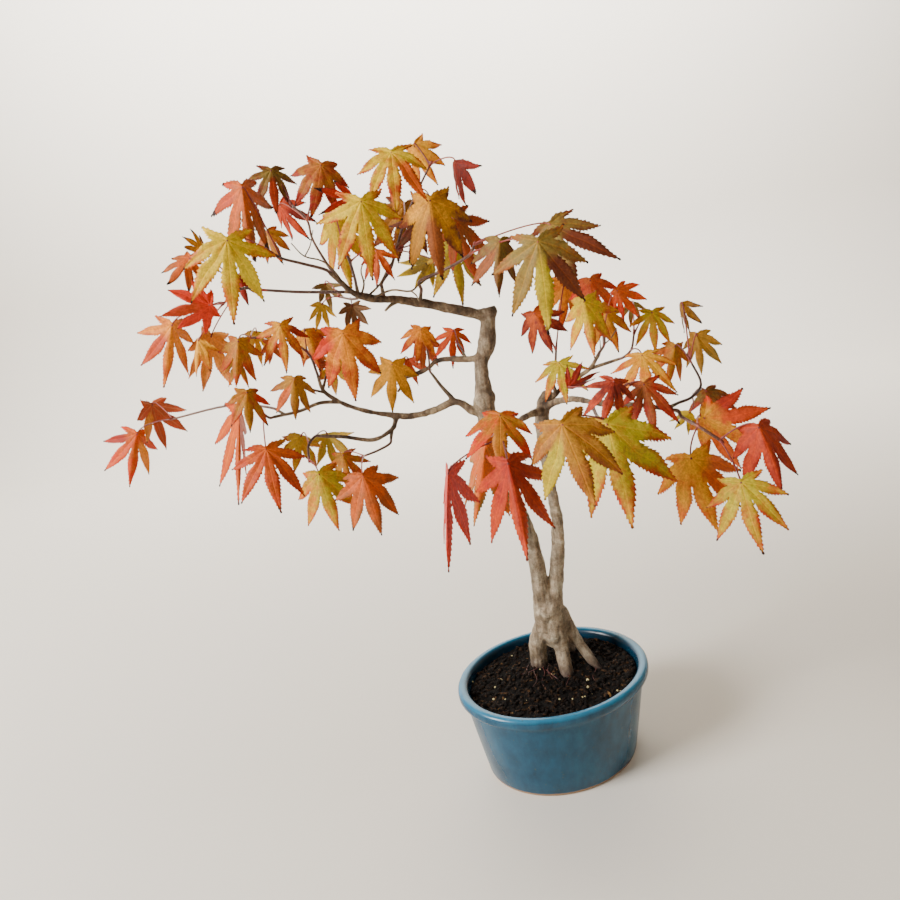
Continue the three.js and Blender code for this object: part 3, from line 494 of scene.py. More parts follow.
# Young maple wood and leaf stalks: smooth thin bark with a slight gloss, purple-brown on the twigs and red on the
# stalks, with small pale breathing pores
redTwig, tree, shader, place = newMaterial("redTwig", {"Roughness": 0.45, "IOR": 1.45})
streaks = added(tree, "TexNoise", {"Scale": 500, "Detail": 2, "Vector": place})
skin = added(tree, "Attribute", {"attribute_name": "heart"})
level = added(tree, "MapRange", {"Value": streaks, "From": (0.3, 0.75), "To": (0.65, 1.5)})
toned = added(tree, "VectorMath", {"operation": "SCALE", 0: skin, "Scale": level})
pores = added(tree, "TexVoronoi", {"Scale": 620, "Vector": place})
spots = added(tree, "MapRange", {"Value": pores, "From": (0.12, 0.24), "To": (0.55, 0.0)})
colour = added(tree, "Mix", {"data_type": "RGBA", 0: spots, 6: toned, 7: "#a48672"})
surfaced(tree, shader, colour, streaks, 0.4, 0.2)

twigShape = {
    "twigTints": ["#4f3429", "#5b3a2d", "#473029"],
    "stalkTints": ["#7d2c28", "#8f3b30", "#6b2724", "#9a4a36"],
    "budTint": "#6e2a22",
    "stalkRadius": 0.42,
    "stalkArch": 18,  # a longer stalk arches no further
    "bud": [(0, 0.5), (0.25, 0.85), (0.5, 0.8), (0.8, 0.4), (1, 0.08)],  # part of its length and radius
    "budLength": 3.2,
    "outset": 2.5,  # a twig leaves its spur straight this far
}


def stalk(start, lie):  # a leaf stalk from the twig, arched over and sunk into the blade's foot
    arch = min(np.linalg.norm(start - lie["junction"]), twigShape["stalkArch"])
    bend = lie["junction"] - 0.3 * arch * lie["along"] - 0.1 * arch * lie["normal"]
    rise = start + (bend - start) / 2 + np.array((0, 0, 0.1 * arch))
    end = lie["junction"] + 0.8 * lie["along"] - 0.2 * lie["normal"]
    rows = []
    for t in np.linspace(0, 1, 13):
        place = (1 - t) ** 3 * start + 3 * t * (1 - t) ** 2 * rise + 3 * t * t * (1 - t) * bend + t ** 3 * end
        swell = 1 + 0.9 * max(0, 1 - t / 0.12) + 0.35 * max(0, (t - 0.86) / 0.14)
        rows.append([*place, twigShape["stalkRadius"] * swell])
    return np.array(rows)


def bud(place, heading):  # a pointed winter bud
    length = twigShape["budLength"]
    return np.array([[*(place + heading * length * (t - 0.1)), radius] for t, radius in twigShape["bud"]])


# Leafy sprays, each with its twig, "stem", in stops of u, v, depth and radius. "stub" is where a spur leaves its
# branch, unless the spray ends that branch. A leaf's columns are named below. Its colours are those of its heart and
# its rim, "ripe" is how far it has turned, "dry" how dry its tips are, and "more" gives lobes of their own colour,
# counted from the middle one, and the number of lobes where it isn't 7.
leafColumns = ("u", "v", "tipU", "tipV", "y", "hub", "lean", "turn", "fold", "heart", "rim", "ripe", "dry", "more")
sprays = {
    "crown_left": {
        "slot": "leaf_orange",
        "stem": [(330, 273, -28, 1), (300, 263, -33, 0.9), (281, 258, -38, 0.8), (268, 250, -42, 0.7)],
        "leaves": [
            (227, 240, 234, 321, -66, 3, 12, 0, 12, "yellow", "orange", 0.2, 0.25,
             {-3: "paleYellow", 1: "paleYellow"}),
            (242, 187, 255, 266, -50, 2, 12, -4, 48, "orange", "brownOrange", 0.5, 0.9,
             {-3: "vermilion", -2: "redOrange", 3: "redOrange"}),
            (267, 232, 279, 260, -12, 2, 30, 10, 20, "ochre", "redOrange", 0.5, 0.5),
        ],
    },
    "crown_upper": {
        "slot": "leaf_red", "stub": (340, 281, -25, 1.1),
        "stem": [(335, 275, -23, 0.9), (322, 256, -20, 0.8), (312, 238, -17, 0.7),
                 (307, 220, -15, 0.7), (292, 205, -14, 0.6)],
        "leaves": [
            (271, 170, 277, 211, -15, 4, 26, -10, 14, "olive", "deepRed", 0.68, 0.5, {0: "redOrange"}),
            (280, 206, 303, 240, 2, 3, 16, 34, 20, "redOrange", "red", 0.5, 0.5, {1: "deepRed"}),
            (321, 165, 313, 214, -26, 3, 22, 8, 12, "ochre", "red", 0.75, 0.35),
        ],
    },
    "crown_centre": {
        "slot": "leaf_yellow", "stub": (358, 294, -20, 1.2),
        "stem": [(356, 284, -24, 0.9), (350, 262, -30, 0.8), (343, 245, -36, 0.7), (346, 225, -44, 0.6)],
        "leaves": [
            (361, 201, 372, 277, -66, 3, 10, -5, 14, "yellow", "redOrange", 0.34, 0.2, {3: "orange", -3: "orange"}),
            (335, 219, 349, 290, -22, 2, 5, 15, 42, "yellow", "vermilion", 0.2, 0.3),
            (352, 196, 322, 217, -30, 3, 20, -35, 20, "vermilion", "red", 0.5, 1.0, {"lobes": 5}),
            (376, 250, 376, 284, -34, 1, 25, 20, 20, "orange", "red", 0.5, 0.3, {"lobes": 5}),
        ],
    },
    "crown_top": {
        "slot": "leaf_orange", "stub": (384, 299, -12, 1.4),
        "stem": [(382, 288, -11, 1.1), (390, 270, -9, 1), (396, 250, -6, 0.9), (405, 220, -6, 0.8),
                 (418, 190, -12, 0.7), (430, 165, -18, 0.6)],
        "leaves": [
            (391, 152, 397, 203, -40, 4, 40, 0, 4, "yellow", "redOrange", 0.5, 0.15, {1: "orange"}),
            (414, 146, 433, 184, -4, 5, 10, 20, 20, "gold", "redOrange", 0.48, 0.2),
            (430, 200, 439, 278, -38, 4, 8, 5, 30, "gold", "redBrown", 0.5, 0.4, {0: "brownOrange", -1: "ochre"}),
            (455, 243, 465, 306, 22, 2, 8, -15, 36, "yellowGreen", "ochre", 0.3, 0.35),
            (404, 205, 398, 262, 30, 3, 6, -15, 20, "ochre", "redBrown", 0.7, 0.4),
            (453, 218, 476, 286, -12, 4, 6, 10, 42, "brownOrange", "redOrange", 0.45, 0.35),
            (418, 222, 412, 263, 8, 3, 2, -20, 20, "brown", "deepRed", 0.4, 0.4),
            (455, 162, 461, 206, -24, 5, 10, 55, 20, "deepRed", "red", 0.4, 0.8, {"lobes": 5}),
            (432, 262, 398, 276, 44, 2, 15, 25, 20, "olive", "yellow", 0.2, 0.2, {"lobes": 5}),
        ],
    },
    "bare_twig": {
        "slot": "leaf_orange", "stub": (420, 303, -6, 1.3),
        "stem": [(421, 293, -10, 1.1), (419, 282, -14, 1), (440, 272, -24, 0.9), (462, 260, -34, 0.9),
                 (471, 253, -40, 0.9), (474, 245, -44, 0.8)],
        "leaves": [
            (550, 224, 577, 286, -48, 5, 35, 10, 20, "olive", "redBrown", 0.6, 0.35, {1: "redBrown"}),
            (538, 241, 551, 331, -84, 4, 12, 0, 20, "olive", "brownOrange", 0.4, 0.3,
             {0: "yellowGreen", 1: "redBrown", -1: "olive"}),
            (500, 241, 499, 293, -60, 5, 18, -10, 36, "olive", "redBrown", 0.5, 0.4, {-1: "brownOrange"}),
        ],
    },
    "left": {
        "slot": "leaf_red", "stub": (353, 292, -22, 1.4),
        "stem": [(344, 292, -24, 0.9), (300, 292, -27, 0.9), (262, 290, -30, 0.8),
                 (240, 289, -34, 0.8), (224, 303, -38, 0.7)],
        "leaves": [
            (210, 305, 163, 314, -52, 4, 5, 0, 20, "vermilion", "vermilion", 0.5, 0.2, {0: "redOrange"}),
            (190, 258, 165, 283, -34, 3, 15, 30, 20, "orange", "brownOrange", 0.45, 0.7),
            (203, 250, 188, 238, -16, 3, 35, 15, 20, "gold", "brownOrange", 0.4, 1.0, {"lobes": 5}),
            (238, 276, 246, 303, -8, 2, 20, 10, 20, "red", "deepRed", 0.4, 0.3, {"lobes": 5}),
            (172, 325, 168, 388, -24, 4, 5, -10, 42, "lightOrange", "orange", 0.4, 0.15, {-1: "redOrange"}),
            (198, 340, 191, 374, 4, 4, 15, 50, 34, "gold", "orange", 0.3, 0.2, {"lobes": 5}),
            (211, 336, 201, 391, 34, 3, -10, 165, 36, "lightOrange", "pinkOrange", 0.2, 0.1),
        ],
    },
    "left_inner": {
        "slot": "leaf_orange",
        "stem": [(318, 376, 2, 0.9), (307, 352, 6, 0.8), (275, 337, 6, 0.7), (250, 338, 4, 0.6)],
        "leaves": [
            (238, 341, 235, 386, -16, 3, 10, 10, 34, "ochre", "redOrange", 0.5, 0.25),
            (237, 357, 249, 385, 14, 3, 25, -15, 32, "ochre", "orange", 0.3, 0.2, {"lobes": 5}),
            (280, 325, 287, 372, -8, 2, 10, 5, 20, "gold", "redOrange", 0.62, 0.3, {2: "red"}),
            (305, 330, 319, 370, 22, 1, 12, 10, 30, "gold", "redOrange", 0.62, 0.25, {"lobes": 5}),
            (256, 332, 259, 368, 40, 3, 15, 150, 20, "paleYellow", "lightOrange", 0.45, 0.1, {"lobes": 5}),
            (272, 342, 267, 365, 26, 2, 20, 160, 20, "orange", "redOrange", 0.2, 0.1, {"lobes": 5}),
        ],
    },
    "left_middle": {
        "slot": "leaf_orange", "stub": (327, 393, -1, 1.1),
        "stem": [(318, 391, -3, 0.8), (308, 388, -5, 0.7)],
        "leaves": [
            (294, 379, 296, 418, -14, 1, 20, -5, 24, "ochre", "brownOrange", 0.35, 0.3, {-1: "orange"}),
        ],
    },
    "middle": {
        "slot": "leaf_orange", "stub": (323, 389, 0, 1),
        "stem": [(325, 381, 5, 0.9), (329, 368, 11, 0.8), (335, 352, 18, 0.7)],
        "leaves": [
            (343, 333, 357, 401, -10, 2, 5, 0, 14, "lightOrange", "redOrange", 0.55, 0.25,
             {-2: "vermilion", -3: "vermilion"}),
            (333, 362, 334, 396, 40, 1, 15, 170, 20, "yellow", "orange", 0.35, 0.1, {2: "red"}),
            (322, 338, 318, 380, 62, 2, 10, 165, 30, "vermilion", "lightOrange", 0.3, 0.1, {0: "red", "lobes": 5}),
        ],
    },
    "back_low": {
        "slot": "leaf_yellow",
        "stem": [(402, 378, 38, 0.9), (393, 376, 42, 0.8), (384, 370, 46, 0.7)],
        "leaves": [
            (392, 364, 391, 412, 22, 2, 5, 5, 20, "gold", "ochre", 0.2, 0.15),
            (408, 359, 417, 387, 66, 1, 20, 160, 20, "vermilion", "red", 0.4, 0.1, {"lobes": 5}),
        ],
    },
    "back_middle": {
        "slot": "leaf_orange",
        "stem": [(432, 374, 14, 0.8), (429, 360, 24, 0.7), (426, 345, 34, 0.6)],
        "leaves": [
            (421, 329, 416, 361, 18, 2, 24, 0, 12, "lightOrange", "redOrange", 0.45, 0.2),
            (424, 337, 419, 373, 52, 2, 10, 150, 20, "orange", "redOrange", 0.45, 0.2, {"lobes": 5}),
        ],
    },
    "back_right": {
        "slot": "leaf_red", "stub": (466, 359, 9, 1.4),
        "stem": [(463, 352, 14, 0.8), (458, 344, 22, 0.7)],
        "leaves": [
            (453, 331, 452, 366, 36, 1, 20, 0, 20, "orange", "vermilion", 0.55, 0.2),
        ],
    },
    "low_left": {
        "slot": "leaf_orange",
        "stem": [(274, 417, -10, 0.9), (263, 413, -13, 0.8), (258, 405, -14, 0.7)],
        "leaves": [
            (247, 392, 251, 430, -32, 2, 24, -10, 20, "ochre", "redOrange", 0.4, 0.35,
             {0: "ochre", 2: "vermilion", 3: "red"}),
            (239, 412, 241, 506, -22, 1, 5, -8, 72, "orange", "redOrange", 0.4, 0.2, {1: "redOrange"}),
            (266, 449, 278, 510, -54, 1, 20, 0, 10, "orange", "redOrange", 0.6, 0.2, {-3: "red", 3: "ochre"}),
        ],
    },
    "far_left": {
        "slot": "leaf_red", "stub": (284, 414, -8, 1),
        "stem": [(277, 410, -3, 0.9), (250, 405, 8, 0.8), (226, 406, 18, 0.8), (173, 419, 42, 0.7)],
        "leaves": [
            (152, 405, 163, 450, 60, 3, -5, 155, 20, "redOrange", "vermilion", 0.5, 0.2, {1: "lightOrange"}),
            (137, 434, 131, 487, 42, 3, 5, -10, 34, "orange", "vermilion", 0.5, 0.2, {1: "lightOrange", -2: "red"}),
        ],
    },
    "low_middle": {
        "slot": "leaf_yellow",
        "stem": [(320, 436, -10, 0.9), (309, 444, -14, 0.8), (309, 460, -24, 0.7)],
        "leaves": [
            (319, 474, 337, 530, -36, 2, 10, 10, 20, "yellowGreen", "orange", 0.45, 0.15),
            (301, 436, 292, 474, 12, 1, 15, 165, 20, "yellow", "orange", 0.35, 0.2, {"lobes": 5}),
            (327, 434, 336, 473, 34, 1, 15, 170, 20, "yellowGreen", "gold", 0.2, 0.1, {"lobes": 5}),
        ],
    },
    "low_right": {
        "slot": "leaf_red", "stub": (392, 429, 2, 1.4),
        "stem": [(391, 439, -1, 0.9), (379, 450, -6, 0.8), (364, 456, -10, 0.7)],
        "leaves": [
            (343, 455, 351, 499, -4, 2, 16, 8, 30, "ochre", "redOrange", 0.45, 0.3),
            (363, 476, 382, 534, -64, 2, 10, 0, 20, "orange", "brownOrange", 0.55, 0.3),
        ],
    },
    "right_end": {
        "slot": "leaf_orange",
        "stem": [(673, 410, -98, 1), (681, 416, -102, 0.9), (698, 426, -112, 0.8), (720, 440, -118, 0.8)],
        "leaves": [
            (704, 418, 765, 452, -98, 2, 8, 15, 20, "gold", "redOrange", 0.6, 0.25,
             {3: "vermilion", 2: "red", 1: "redOrange", -1: "orange"}),
            (691, 458, 714, 530, -112, 2, 10, 0, 20, "gold", "orange", 0.42, 0.2, {1: "orange", 2: "pinkOrange"}),
            (741, 482, 759, 551, -146, 3, 12, 0, 12, "yellowGreen", "redOrange", 0.4, 0.15),
            (759, 427, 785, 489, -128, 3, 10, -15, 38, "redOrange", "red", 0.5, 0.35),
        ],
    },
    "right_outer": {
        "slot": "leaf_yellow", "stub": (666, 409, -97, 1.2),
        "stem": [(676, 404, -90, 0.9), (692, 397, -84, 0.8), (701, 384, -78, 0.7), (690, 360, -70, 0.6)],
        "leaves": [
            (706, 391, 724, 423, -66, 1, 25, -10, 20, "olive", "red", 0.6, 0.3),
            (697, 335, 700, 374, -60, 3, 12, 15, 30, "ochre", "olive", 0.3, 0.2),
            (675, 346, 670, 385, -62, 3, 14, -15, 34, "ochre", "orange", 0.35, 0.3),
            (681, 303, 686, 336, -38, 3, 15, 55, 20, "ochre", "brown", 0.3, 0.7, {"lobes": 5}),
            (690, 412, 676, 427, -70, 1, 30, 15, 20, "yellow", "olive", 0.3, 0.2, {"lobes": 5}),
        ],
    },
    "front_right": {
        "slot": "leaf_yellow", "stub": (590, 402, -62, 1.9),
        "stem": [(591, 403, -72, 1.1), (597, 416, -98, 0.9), (603, 419, -124, 0.8)],
        "leaves": [
            (607, 424, 634, 525, -127, 2, 10, 5, 26, "yellowGreen", "redOrange", 0.3, 0.1),
            (562, 424, 595, 504, -150, 2, 10, 0, 16, "ochre", "brownOrange", 0.4, 0.15, {-1: "yellowGreen"}),
        ],
    },
    "front_upper": {
        "slot": "leaf_red", "stub": (610, 404, -78, 1.6),
        "stem": [(614, 397, -84, 0.9), (619, 390, -88, 0.8), (626, 385, -92, 0.7)],
        "leaves": [
            (614, 381, 603, 424, -104, 1, 26, 0, 20, "deepRed", "redOrange", 0.55, 0.3),
            (644, 384, 655, 434, -98, 2, 22, 5, 20, "brownOrange", "red", 0.75, 0.3),
            (568, 387, 600, 376, -72, 1, 10, 50, 20, "red", "deepRed", 0.35, 0.3, {"lobes": 5}),
        ],
    },
    "front_left": {
        "slot": "leaf_red",
        "stem": [(510, 432, -75, 1), (506, 434, -84, 0.9), (502, 438, -94, 0.8)],
        "leaves": [
            (500, 415, 500, 461, -92, 1, 42, 0, 12, "ochre", "vermilion", 0.68, 0.2, {0: "ochre"}),
            (508, 463, 529, 558, -128, 2, 10, 0, 44, "red", "redOrange", 0.55, 0.15),
            (448, 473, 444, 572, -101, 2, 5, 14, 70, "pink", "vermilion", 0.3, 0.15),
            (485, 444, 472, 526, -62, 1, 5, 20, 48, "orange", "olive", 0.2, 0.1),
        ],
    },
    "right_upper": {
        "slot": "leaf_orange",
        "stem": [(598, 355, -30, 0.9), (604, 345, -34, 0.8), (604, 328, -38, 0.7)],
        "leaves": [
            (590, 280, 602, 322, -28, 2, 20, -5, 20, "pinkOrange", "vermilion", 0.5, 0.25),
            (584, 301, 594, 356, -66, 2, 12, 5, 38, "yellow", "pinkOrange", 0.42, 0.2),
            (617, 290, 636, 317, -56, 2, 20, 25, 20, "orange", "vermilion", 0.5, 0.2),
            (602, 307, 621, 350, -12, 1, 12, -10, 30, "gold", "redOrange", 0.46, 0.25),
        ],
    },
    "right_side": {
        "slot": "leaf_yellow",
        "stem": [(619, 359, -35, 0.8), (631, 350, -42, 0.7), (634, 334, -46, 0.6)],
        "leaves": [
            (652, 312, 655, 352, -56, 2, 18, 0, 20, "yellowGreen", "orange", 0.42, 0.2),
            (642, 355, 649, 396, -76, 1, 40, 0, 8, "gold", "orange", 0.4, 0.1),
            (632, 302, 629, 326, -4, 2, 20, 20, 20, "olive", "orange", 0.3, 0.2, {"lobes": 5}),
        ],
    },
    "right_inner": {
        "slot": "leaf_yellow", "stub": (556, 394, -9, 1.7),
        "stem": [(554, 386, -15, 0.9), (555, 374, -22, 0.8), (556, 350, -28, 0.7)],
        "leaves": [
            (559, 363, 566, 399, -46, 1, 42, 0, 6, "yellowGreen", "orange", 0.3, 0.1),
            (565, 283, 564, 328, -4, 2, 12, -20, 20, "lightOrange", "redOrange", 0.5, 0.3),
            (534, 313, 553, 353, -34, 2, 12, 10, 20, "orange", "deepRed", 0.85, 0.35),
        ],
    },
    "back_top": {
        "slot": "leaf_brown", "stub": (362, 296, -18, 1.3),
        "stem": [(358, 298, -8, 0.9), (350, 299, 16, 0.8), (340, 297, 34, 0.7)],
        "leaves": [
            (325, 284, 331, 313, 50, 2, 15, 165, 20, "olive", "brown", 0.3, 0.2, {"lobes": 5}),
            (322, 304, 314, 331, 30, 2, 10, 160, 20, "yellow", "gold", 0.3, 0.3, {"lobes": 5}),
            (352, 306, 357, 335, 44, 1, 10, 170, 20, "brown", "redBrown", 0.3, 0.3),
        ],
    },
}

# Trunks, branches and roots: stops of u, v, depth, radius from the thick end to the thin one
trunks = {
    "stump": [(555, 643, 13, 6.5), (554, 630, 12, 10.6), (550, 608, 10, 9.8), (547, 594, 8, 6.5), (547, 586, 8, 3.5)],
    "left": [(546, 628, 10, 7.8), (541, 592, 8, 6.2), (536, 560, 7, 5.5), (526, 527, 6, 5.5), (515, 503, 5, 5.5),
             (500, 460, 4, 5.8), (489, 425, 3, 6.2), (485, 404, 3, 6.9), (482, 379, 3, 5), (482, 361, 4, 4.7),
             (487, 343, 4, 6.2), (488, 325, 4, 5.1), (488, 309, 4, 5.3)],
    "right": [(557, 628, 12, 7.2), (555, 600, 8, 5.8), (557, 566, 6, 5), (558, 541, 4, 4.7), (557, 518, 2, 4),
              (553, 499, 0, 3.7), (549, 475, -2, 4), (545, 448, -4, 4.2), (542, 420, -6, 4.7), (545, 397, -7, 4.3)],
}
branches = {
    "top": [(488, 317, 4, 4.2), (473, 313, 2, 3.4), (448, 308, -1, 3.1), (422, 303, -5, 2.9), (399, 300, -9, 2.8),
            (371, 298, -16, 2.5), (352, 292, -22, 2.2), (342, 283, -25, 1.6), (330, 273, -28, 1.2)],
    "topStub": [(400, 300, -9, 1.5), (391, 305, -10, 1.1), (385, 311, -10, 0.7)],
    "back": [(482, 357, 4, 3), (468, 359, 8, 2.2), (448, 359, 16, 2), (437, 361, 22, 1.9), (425, 370, 28, 1.8),
             (409, 376, 34, 1.5), (402, 378, 38, 1.3)],
    "backStub": [(404, 378, 37, 1.2), (402, 385, 38, 1), (398, 392, 38, 0.8)],
    "middle": [(487, 414, 3, 3.4), (473, 411, 3, 2.8), (457, 402, 4, 2.5), (435, 410, 6, 2.3), (412, 416, 6, 2.2),
               (384, 414, 4, 1.9), (358, 409, 0, 1.7), (338, 401, -2, 1.5), (323, 390, 0, 1.2), (318, 376, 2, 1)],
    "middleLow": [(341, 402, -2, 1.3), (320, 403, -4, 1.2), (300, 411, -6, 1.1), (274, 417, -10, 1)],
    "lower": [(397, 416, 6, 1.8), (393, 428, 2, 1.6), (381, 437, -2, 1.5), (371, 440, -4, 1.4), (345, 437, -8, 1.2),
              (320, 436, -10, 1)],
    "upTwig": [(456, 402, 4, 1.7), (442, 387, 8, 1.2), (432, 374, 14, 0.9)],
    "frontRight": [(542, 409, -6, 3), (559, 401, -20, 2.1), (575, 399, -40, 1.9), (592, 402, -65, 1.7),
                   (612, 404, -80, 1.5), (640, 405, -90, 1.3), (673, 410, -98, 1.1)],
    "frontLeft": [(543, 410, -8, 2.8), (527, 416, -25, 2.1), (516, 424, -50, 1.6), (510, 432, -75, 1.2)],
    "rightUp": [(545, 404, -6, 2.8), (552, 398, -8, 1.9), (564, 386, -12, 1.6), (587, 371, -22, 1.4),
                (592, 366, -25, 1.2), (598, 355, -30, 1)],
    "rightSide": [(589, 369, -23, 1.2), (604, 364, -28, 1.1), (619, 359, -35, 0.9)],
}
shoots = [  # bare twiglets between the leaves, which have no solid of their own
    [(346, 288, -24, 0.65), (335, 272, -24, 0.55), (322, 261, -26, 0.5), (304, 256, -28, 0.45), (291, 243, -30, 0.3)],
    [(305, 256, -28, 0.4), (310, 246, -29, 0.35), (313, 230, -30, 0.25)],
    [(367, 297, -18, 0.75), (380, 284, -18, 0.6), (388, 268, -19, 0.45), (397, 255, -20, 0.3)],
    [(373, 298, -17, 0.8), (392, 290, -20, 0.65), (411, 291, -22, 0.6), (421, 283, -24, 0.45), (433, 276, -26, 0.3)],
    [(361, 296, -19, 0.75), (364, 284, -18, 0.6), (361, 270, -17, 0.45), (367, 256, -17, 0.3)],
    [(411, 291, -22, 0.5), (416, 295, -23, 0.45), (419, 301, -24, 0.3)],
    [(403, 378, 37, 0.9), (392, 378, 34, 0.7), (385, 371, 31, 0.4)],
    [(597, 357, -30, 0.6), (604, 345, -31, 0.5), (611, 338, -32, 0.4), (617, 328, -32, 0.3)],
    [(594, 363, -27, 0.6), (600, 354, -26, 0.45), (600, 340, -25, 0.3)],
]
roots = [  # where it leaves the stump in the view, its knee, then x, y and radius at the soil in millimetres
    {"from": (546, 618, 12, 7.6), "knee": (538, 645, 16, 6.8), "foot": (-7, 16.5, 6.8)},
    {"from": (556, 622, 10, 7), "knee": (562, 648, 8, 5.6), "foot": (10, -2.5, 4.9)},
    {"from": (559, 610, 11, 5.8), "knee": (578, 642, 11, 4.4), "foot": (33, 1.5, 3.1)},
    {"from": (556, 625, 14, 6.5), "knee": (562, 640, 24, 5.2), "foot": (19, 28.5, 4.6)},
]

woodShape = {
    "soilLevel": 59.5, "rootDepth": 16,
    "thickest": 1.45,  # limbs thinner than this radius stay plain tubes
    "voxel": 0.75,
    "swells": [(11, 1.6), (3.5, 0.6)],  # size and height of the bark's unevenness
    "sawn": (489, 307, 4, 9), "sawnHeight": 0.06, "sawnSlope": 0.12,
    "knots": [(484, 402, 2, 7.1), (486, 398, 2, 6.5), (487, 343, 3, 6.3), (484, 351, 3, 5.2), (489, 312, 4, 5.2),
              (544, 404, -7, 5), (547, 396, -7, 4.2), (541, 412, -6, 4.6), (551, 606, 6, 7.3), (545, 612, 6, 6.5),
              (535, 552, 5, 5.1), (516, 505, 3, 5.3), (558, 540, 3, 4.5)],
    "oldRadius": 4.2, "youngRadius": 1.0,
    "crownFrom": 0.2, "crownRise": 0.06,  # metres up, where the bark is younger too
}
limbs = [flow(viewStops(rows)) for rows in [*trunks.values(), *branches.values()]]
limbs += [flow(viewStops([spray["stub"], spray["stem"][0]]), 4) for spray in sprays.values() if "stub" in spray]
for root in roots:
    start, knee = viewStops([root["from"], root["knee"]])
    x, y, radius = root["foot"]
    out = 0.25 * (np.array((x, y)) - np.array(start[:2]))
    limbs.append(flow([start, knee, [x, y, woodShape["soilLevel"], radius],
                       [x + out[0], y + out[1], woodShape["soilLevel"] - woodShape["rootDepth"], 0.6 * radius]]))
limbs += [flow(viewStops(rows), 4) for rows in shoots]
thick, thin = [], []
for limb in limbs:
    wide = limb[:, 3] >= woodShape["thickest"]
    if wide.any():
        thick.append(limb[:int(np.nonzero(wide)[0].max()) + 1])
    if not wide.all():
        thin.append(limb[max(int(np.nonzero(~wide)[0].min()) - 2, 0):])
pieces = [tubes("solid", thick, 4)]
for u, v, y, radius in woodShape["knots"]:
    bpy.ops.mesh.primitive_ico_sphere_add(subdivisions=3, radius=radius * mm, location=seen(u, v, y) * mm)
    bpy.ops.object.transform_apply(location=True, rotation=False, scale=False)
    pieces.append(bpy.context.object)
wood = joined(pieces, "mapleWood")
applied(wood, "REMESH", mode="VOXEL", voxel_size=woodShape["voxel"] * mm)
applied(wood, "SMOOTH", factor=0.5, iterations=6)
for size, height in woodShape["swells"]:
    swell = bpy.data.textures.new("swell", "CLOUDS")
    swell.noise_scale = size * mm
    swell.noise_depth = 2
    applied(wood, "DISPLACE", texture=swell, texture_coords="LOCAL", mid_level=0.5, strength=height * mm)
sawn = viewStops([woodShape["sawn"]])[0]
for vertex in wood.data.vertices:  # the trunk's top is an old sawn end
    offset = np.array(vertex.co) * 1000 - sawn[:3]
    if offset[2] > 0 and math.hypot(offset[0], offset[1]) < sawn[3]:
        vertex.co.z = (sawn[2] + woodShape["sawnHeight"] * offset[2] + woodShape["sawnSlope"] * offset[0]) * mm
wood = joined([wood, tubes("rods", thin, 3)], "mapleWood")
smoothed(wood)
# bark is younger where the limb is thin and high in the crown
samples = np.vstack(limbs)
tree = nearest(samples[:, None])
ages = []
for vertex in wood.data.vertices:
    radius = samples[tree.find(vertex.co)[1]][3]
    thinness = (woodShape["oldRadius"] - radius) / (woodShape["oldRadius"] - woodShape["youngRadius"])
    ages.append(min(1, max(0, thinness) + 0.5 * ease((vertex.co.z - woodShape["crownFrom"]) / woodShape["crownRise"])))
noted(wood.data, "youth", ages, "FLOAT")
print("wood remeshed,", len(wood.data.polygons), "faces")

# Maple bark: thin, smooth and pale grey-fawn with long faint streaks and darker patches, damp and dark where the
# roots enter the soil, darker and browner on the young branches
mapleBark, tree, shader, place = newMaterial("mapleBark", {"IOR": 1.45})
along = added(tree, "Mapping", {"Scale": (1, 1, 0.16), "Vector": place})
streaks = added(tree, "TexNoise", {"Scale": 330, "Detail": 5, "Roughness": 0.62, "Vector": along})
patches = added(tree, "TexNoise", {"Scale": 100, "Detail": 6, "Roughness": 0.66, "Distortion": 0.3, "Vector": place})
grain = added(tree, "TexNoise", {"Scale": 700, "Detail": 4, "Roughness": 0.75, "Vector": place})
old = added(tree, "ValToRGB", {"Fac": patches, "ramp": [(0.3, "#67563f"), (0.44, "#84715a"), (0.55, "#9c8b73"),
                                                        (0.68, "#bfb197")]})
young = added(tree, "ValToRGB", {"Fac": patches, "ramp": [(0.34, "#35271b"), (0.5, "#6a543e"), (0.66, "#a08a6a")]})
youth = added(tree, "Attribute", {"attribute_name": "youth"})
bark = added(tree, "Mix", {"data_type": "RGBA", 0: youth.outputs["Fac"], 6: old, 7: young})
streakTone = added(tree, "MapRange", {"Value": streaks, "From": (0.36, 0.6), "To": (0.6, 1.16)})
streaked = added(tree, "VectorMath", {"operation": "SCALE", 0: bark, "Scale": streakTone})
grainTone = added(tree, "MapRange", {"Value": grain, "From": (0.3, 0.7), "To": (0.66, 1.22)})
grained = added(tree, "VectorMath", {"operation": "SCALE", 0: streaked, "Scale": grainTone})
heightOf = added(tree, "SeparateXYZ", {0: place})
damp = added(tree, "MapRange", {"Value": heightOf.outputs["Z"], "From": (0.0615, 0.0715), "To": (0.85, 0)})
stainAndShade = added(tree, "Mix", {"data_type": "RGBA", 0: damp, 6: grained, 7: "#33201c"})
relief = added(tree, "Math", {"operation": "MULTIPLY_ADD", 0: grain, 1: 0.5, 2: streaks})
surfaced(tree, shader, stainAndShade, relief, 1.0, 1.2)
wired(tree, shader, {"Roughness": added(tree, "MapRange", {"Value": grain, "To": (0.72, 0.95)})})
wood.data.materials.append(mapleBark)
finished(wood, "wood")

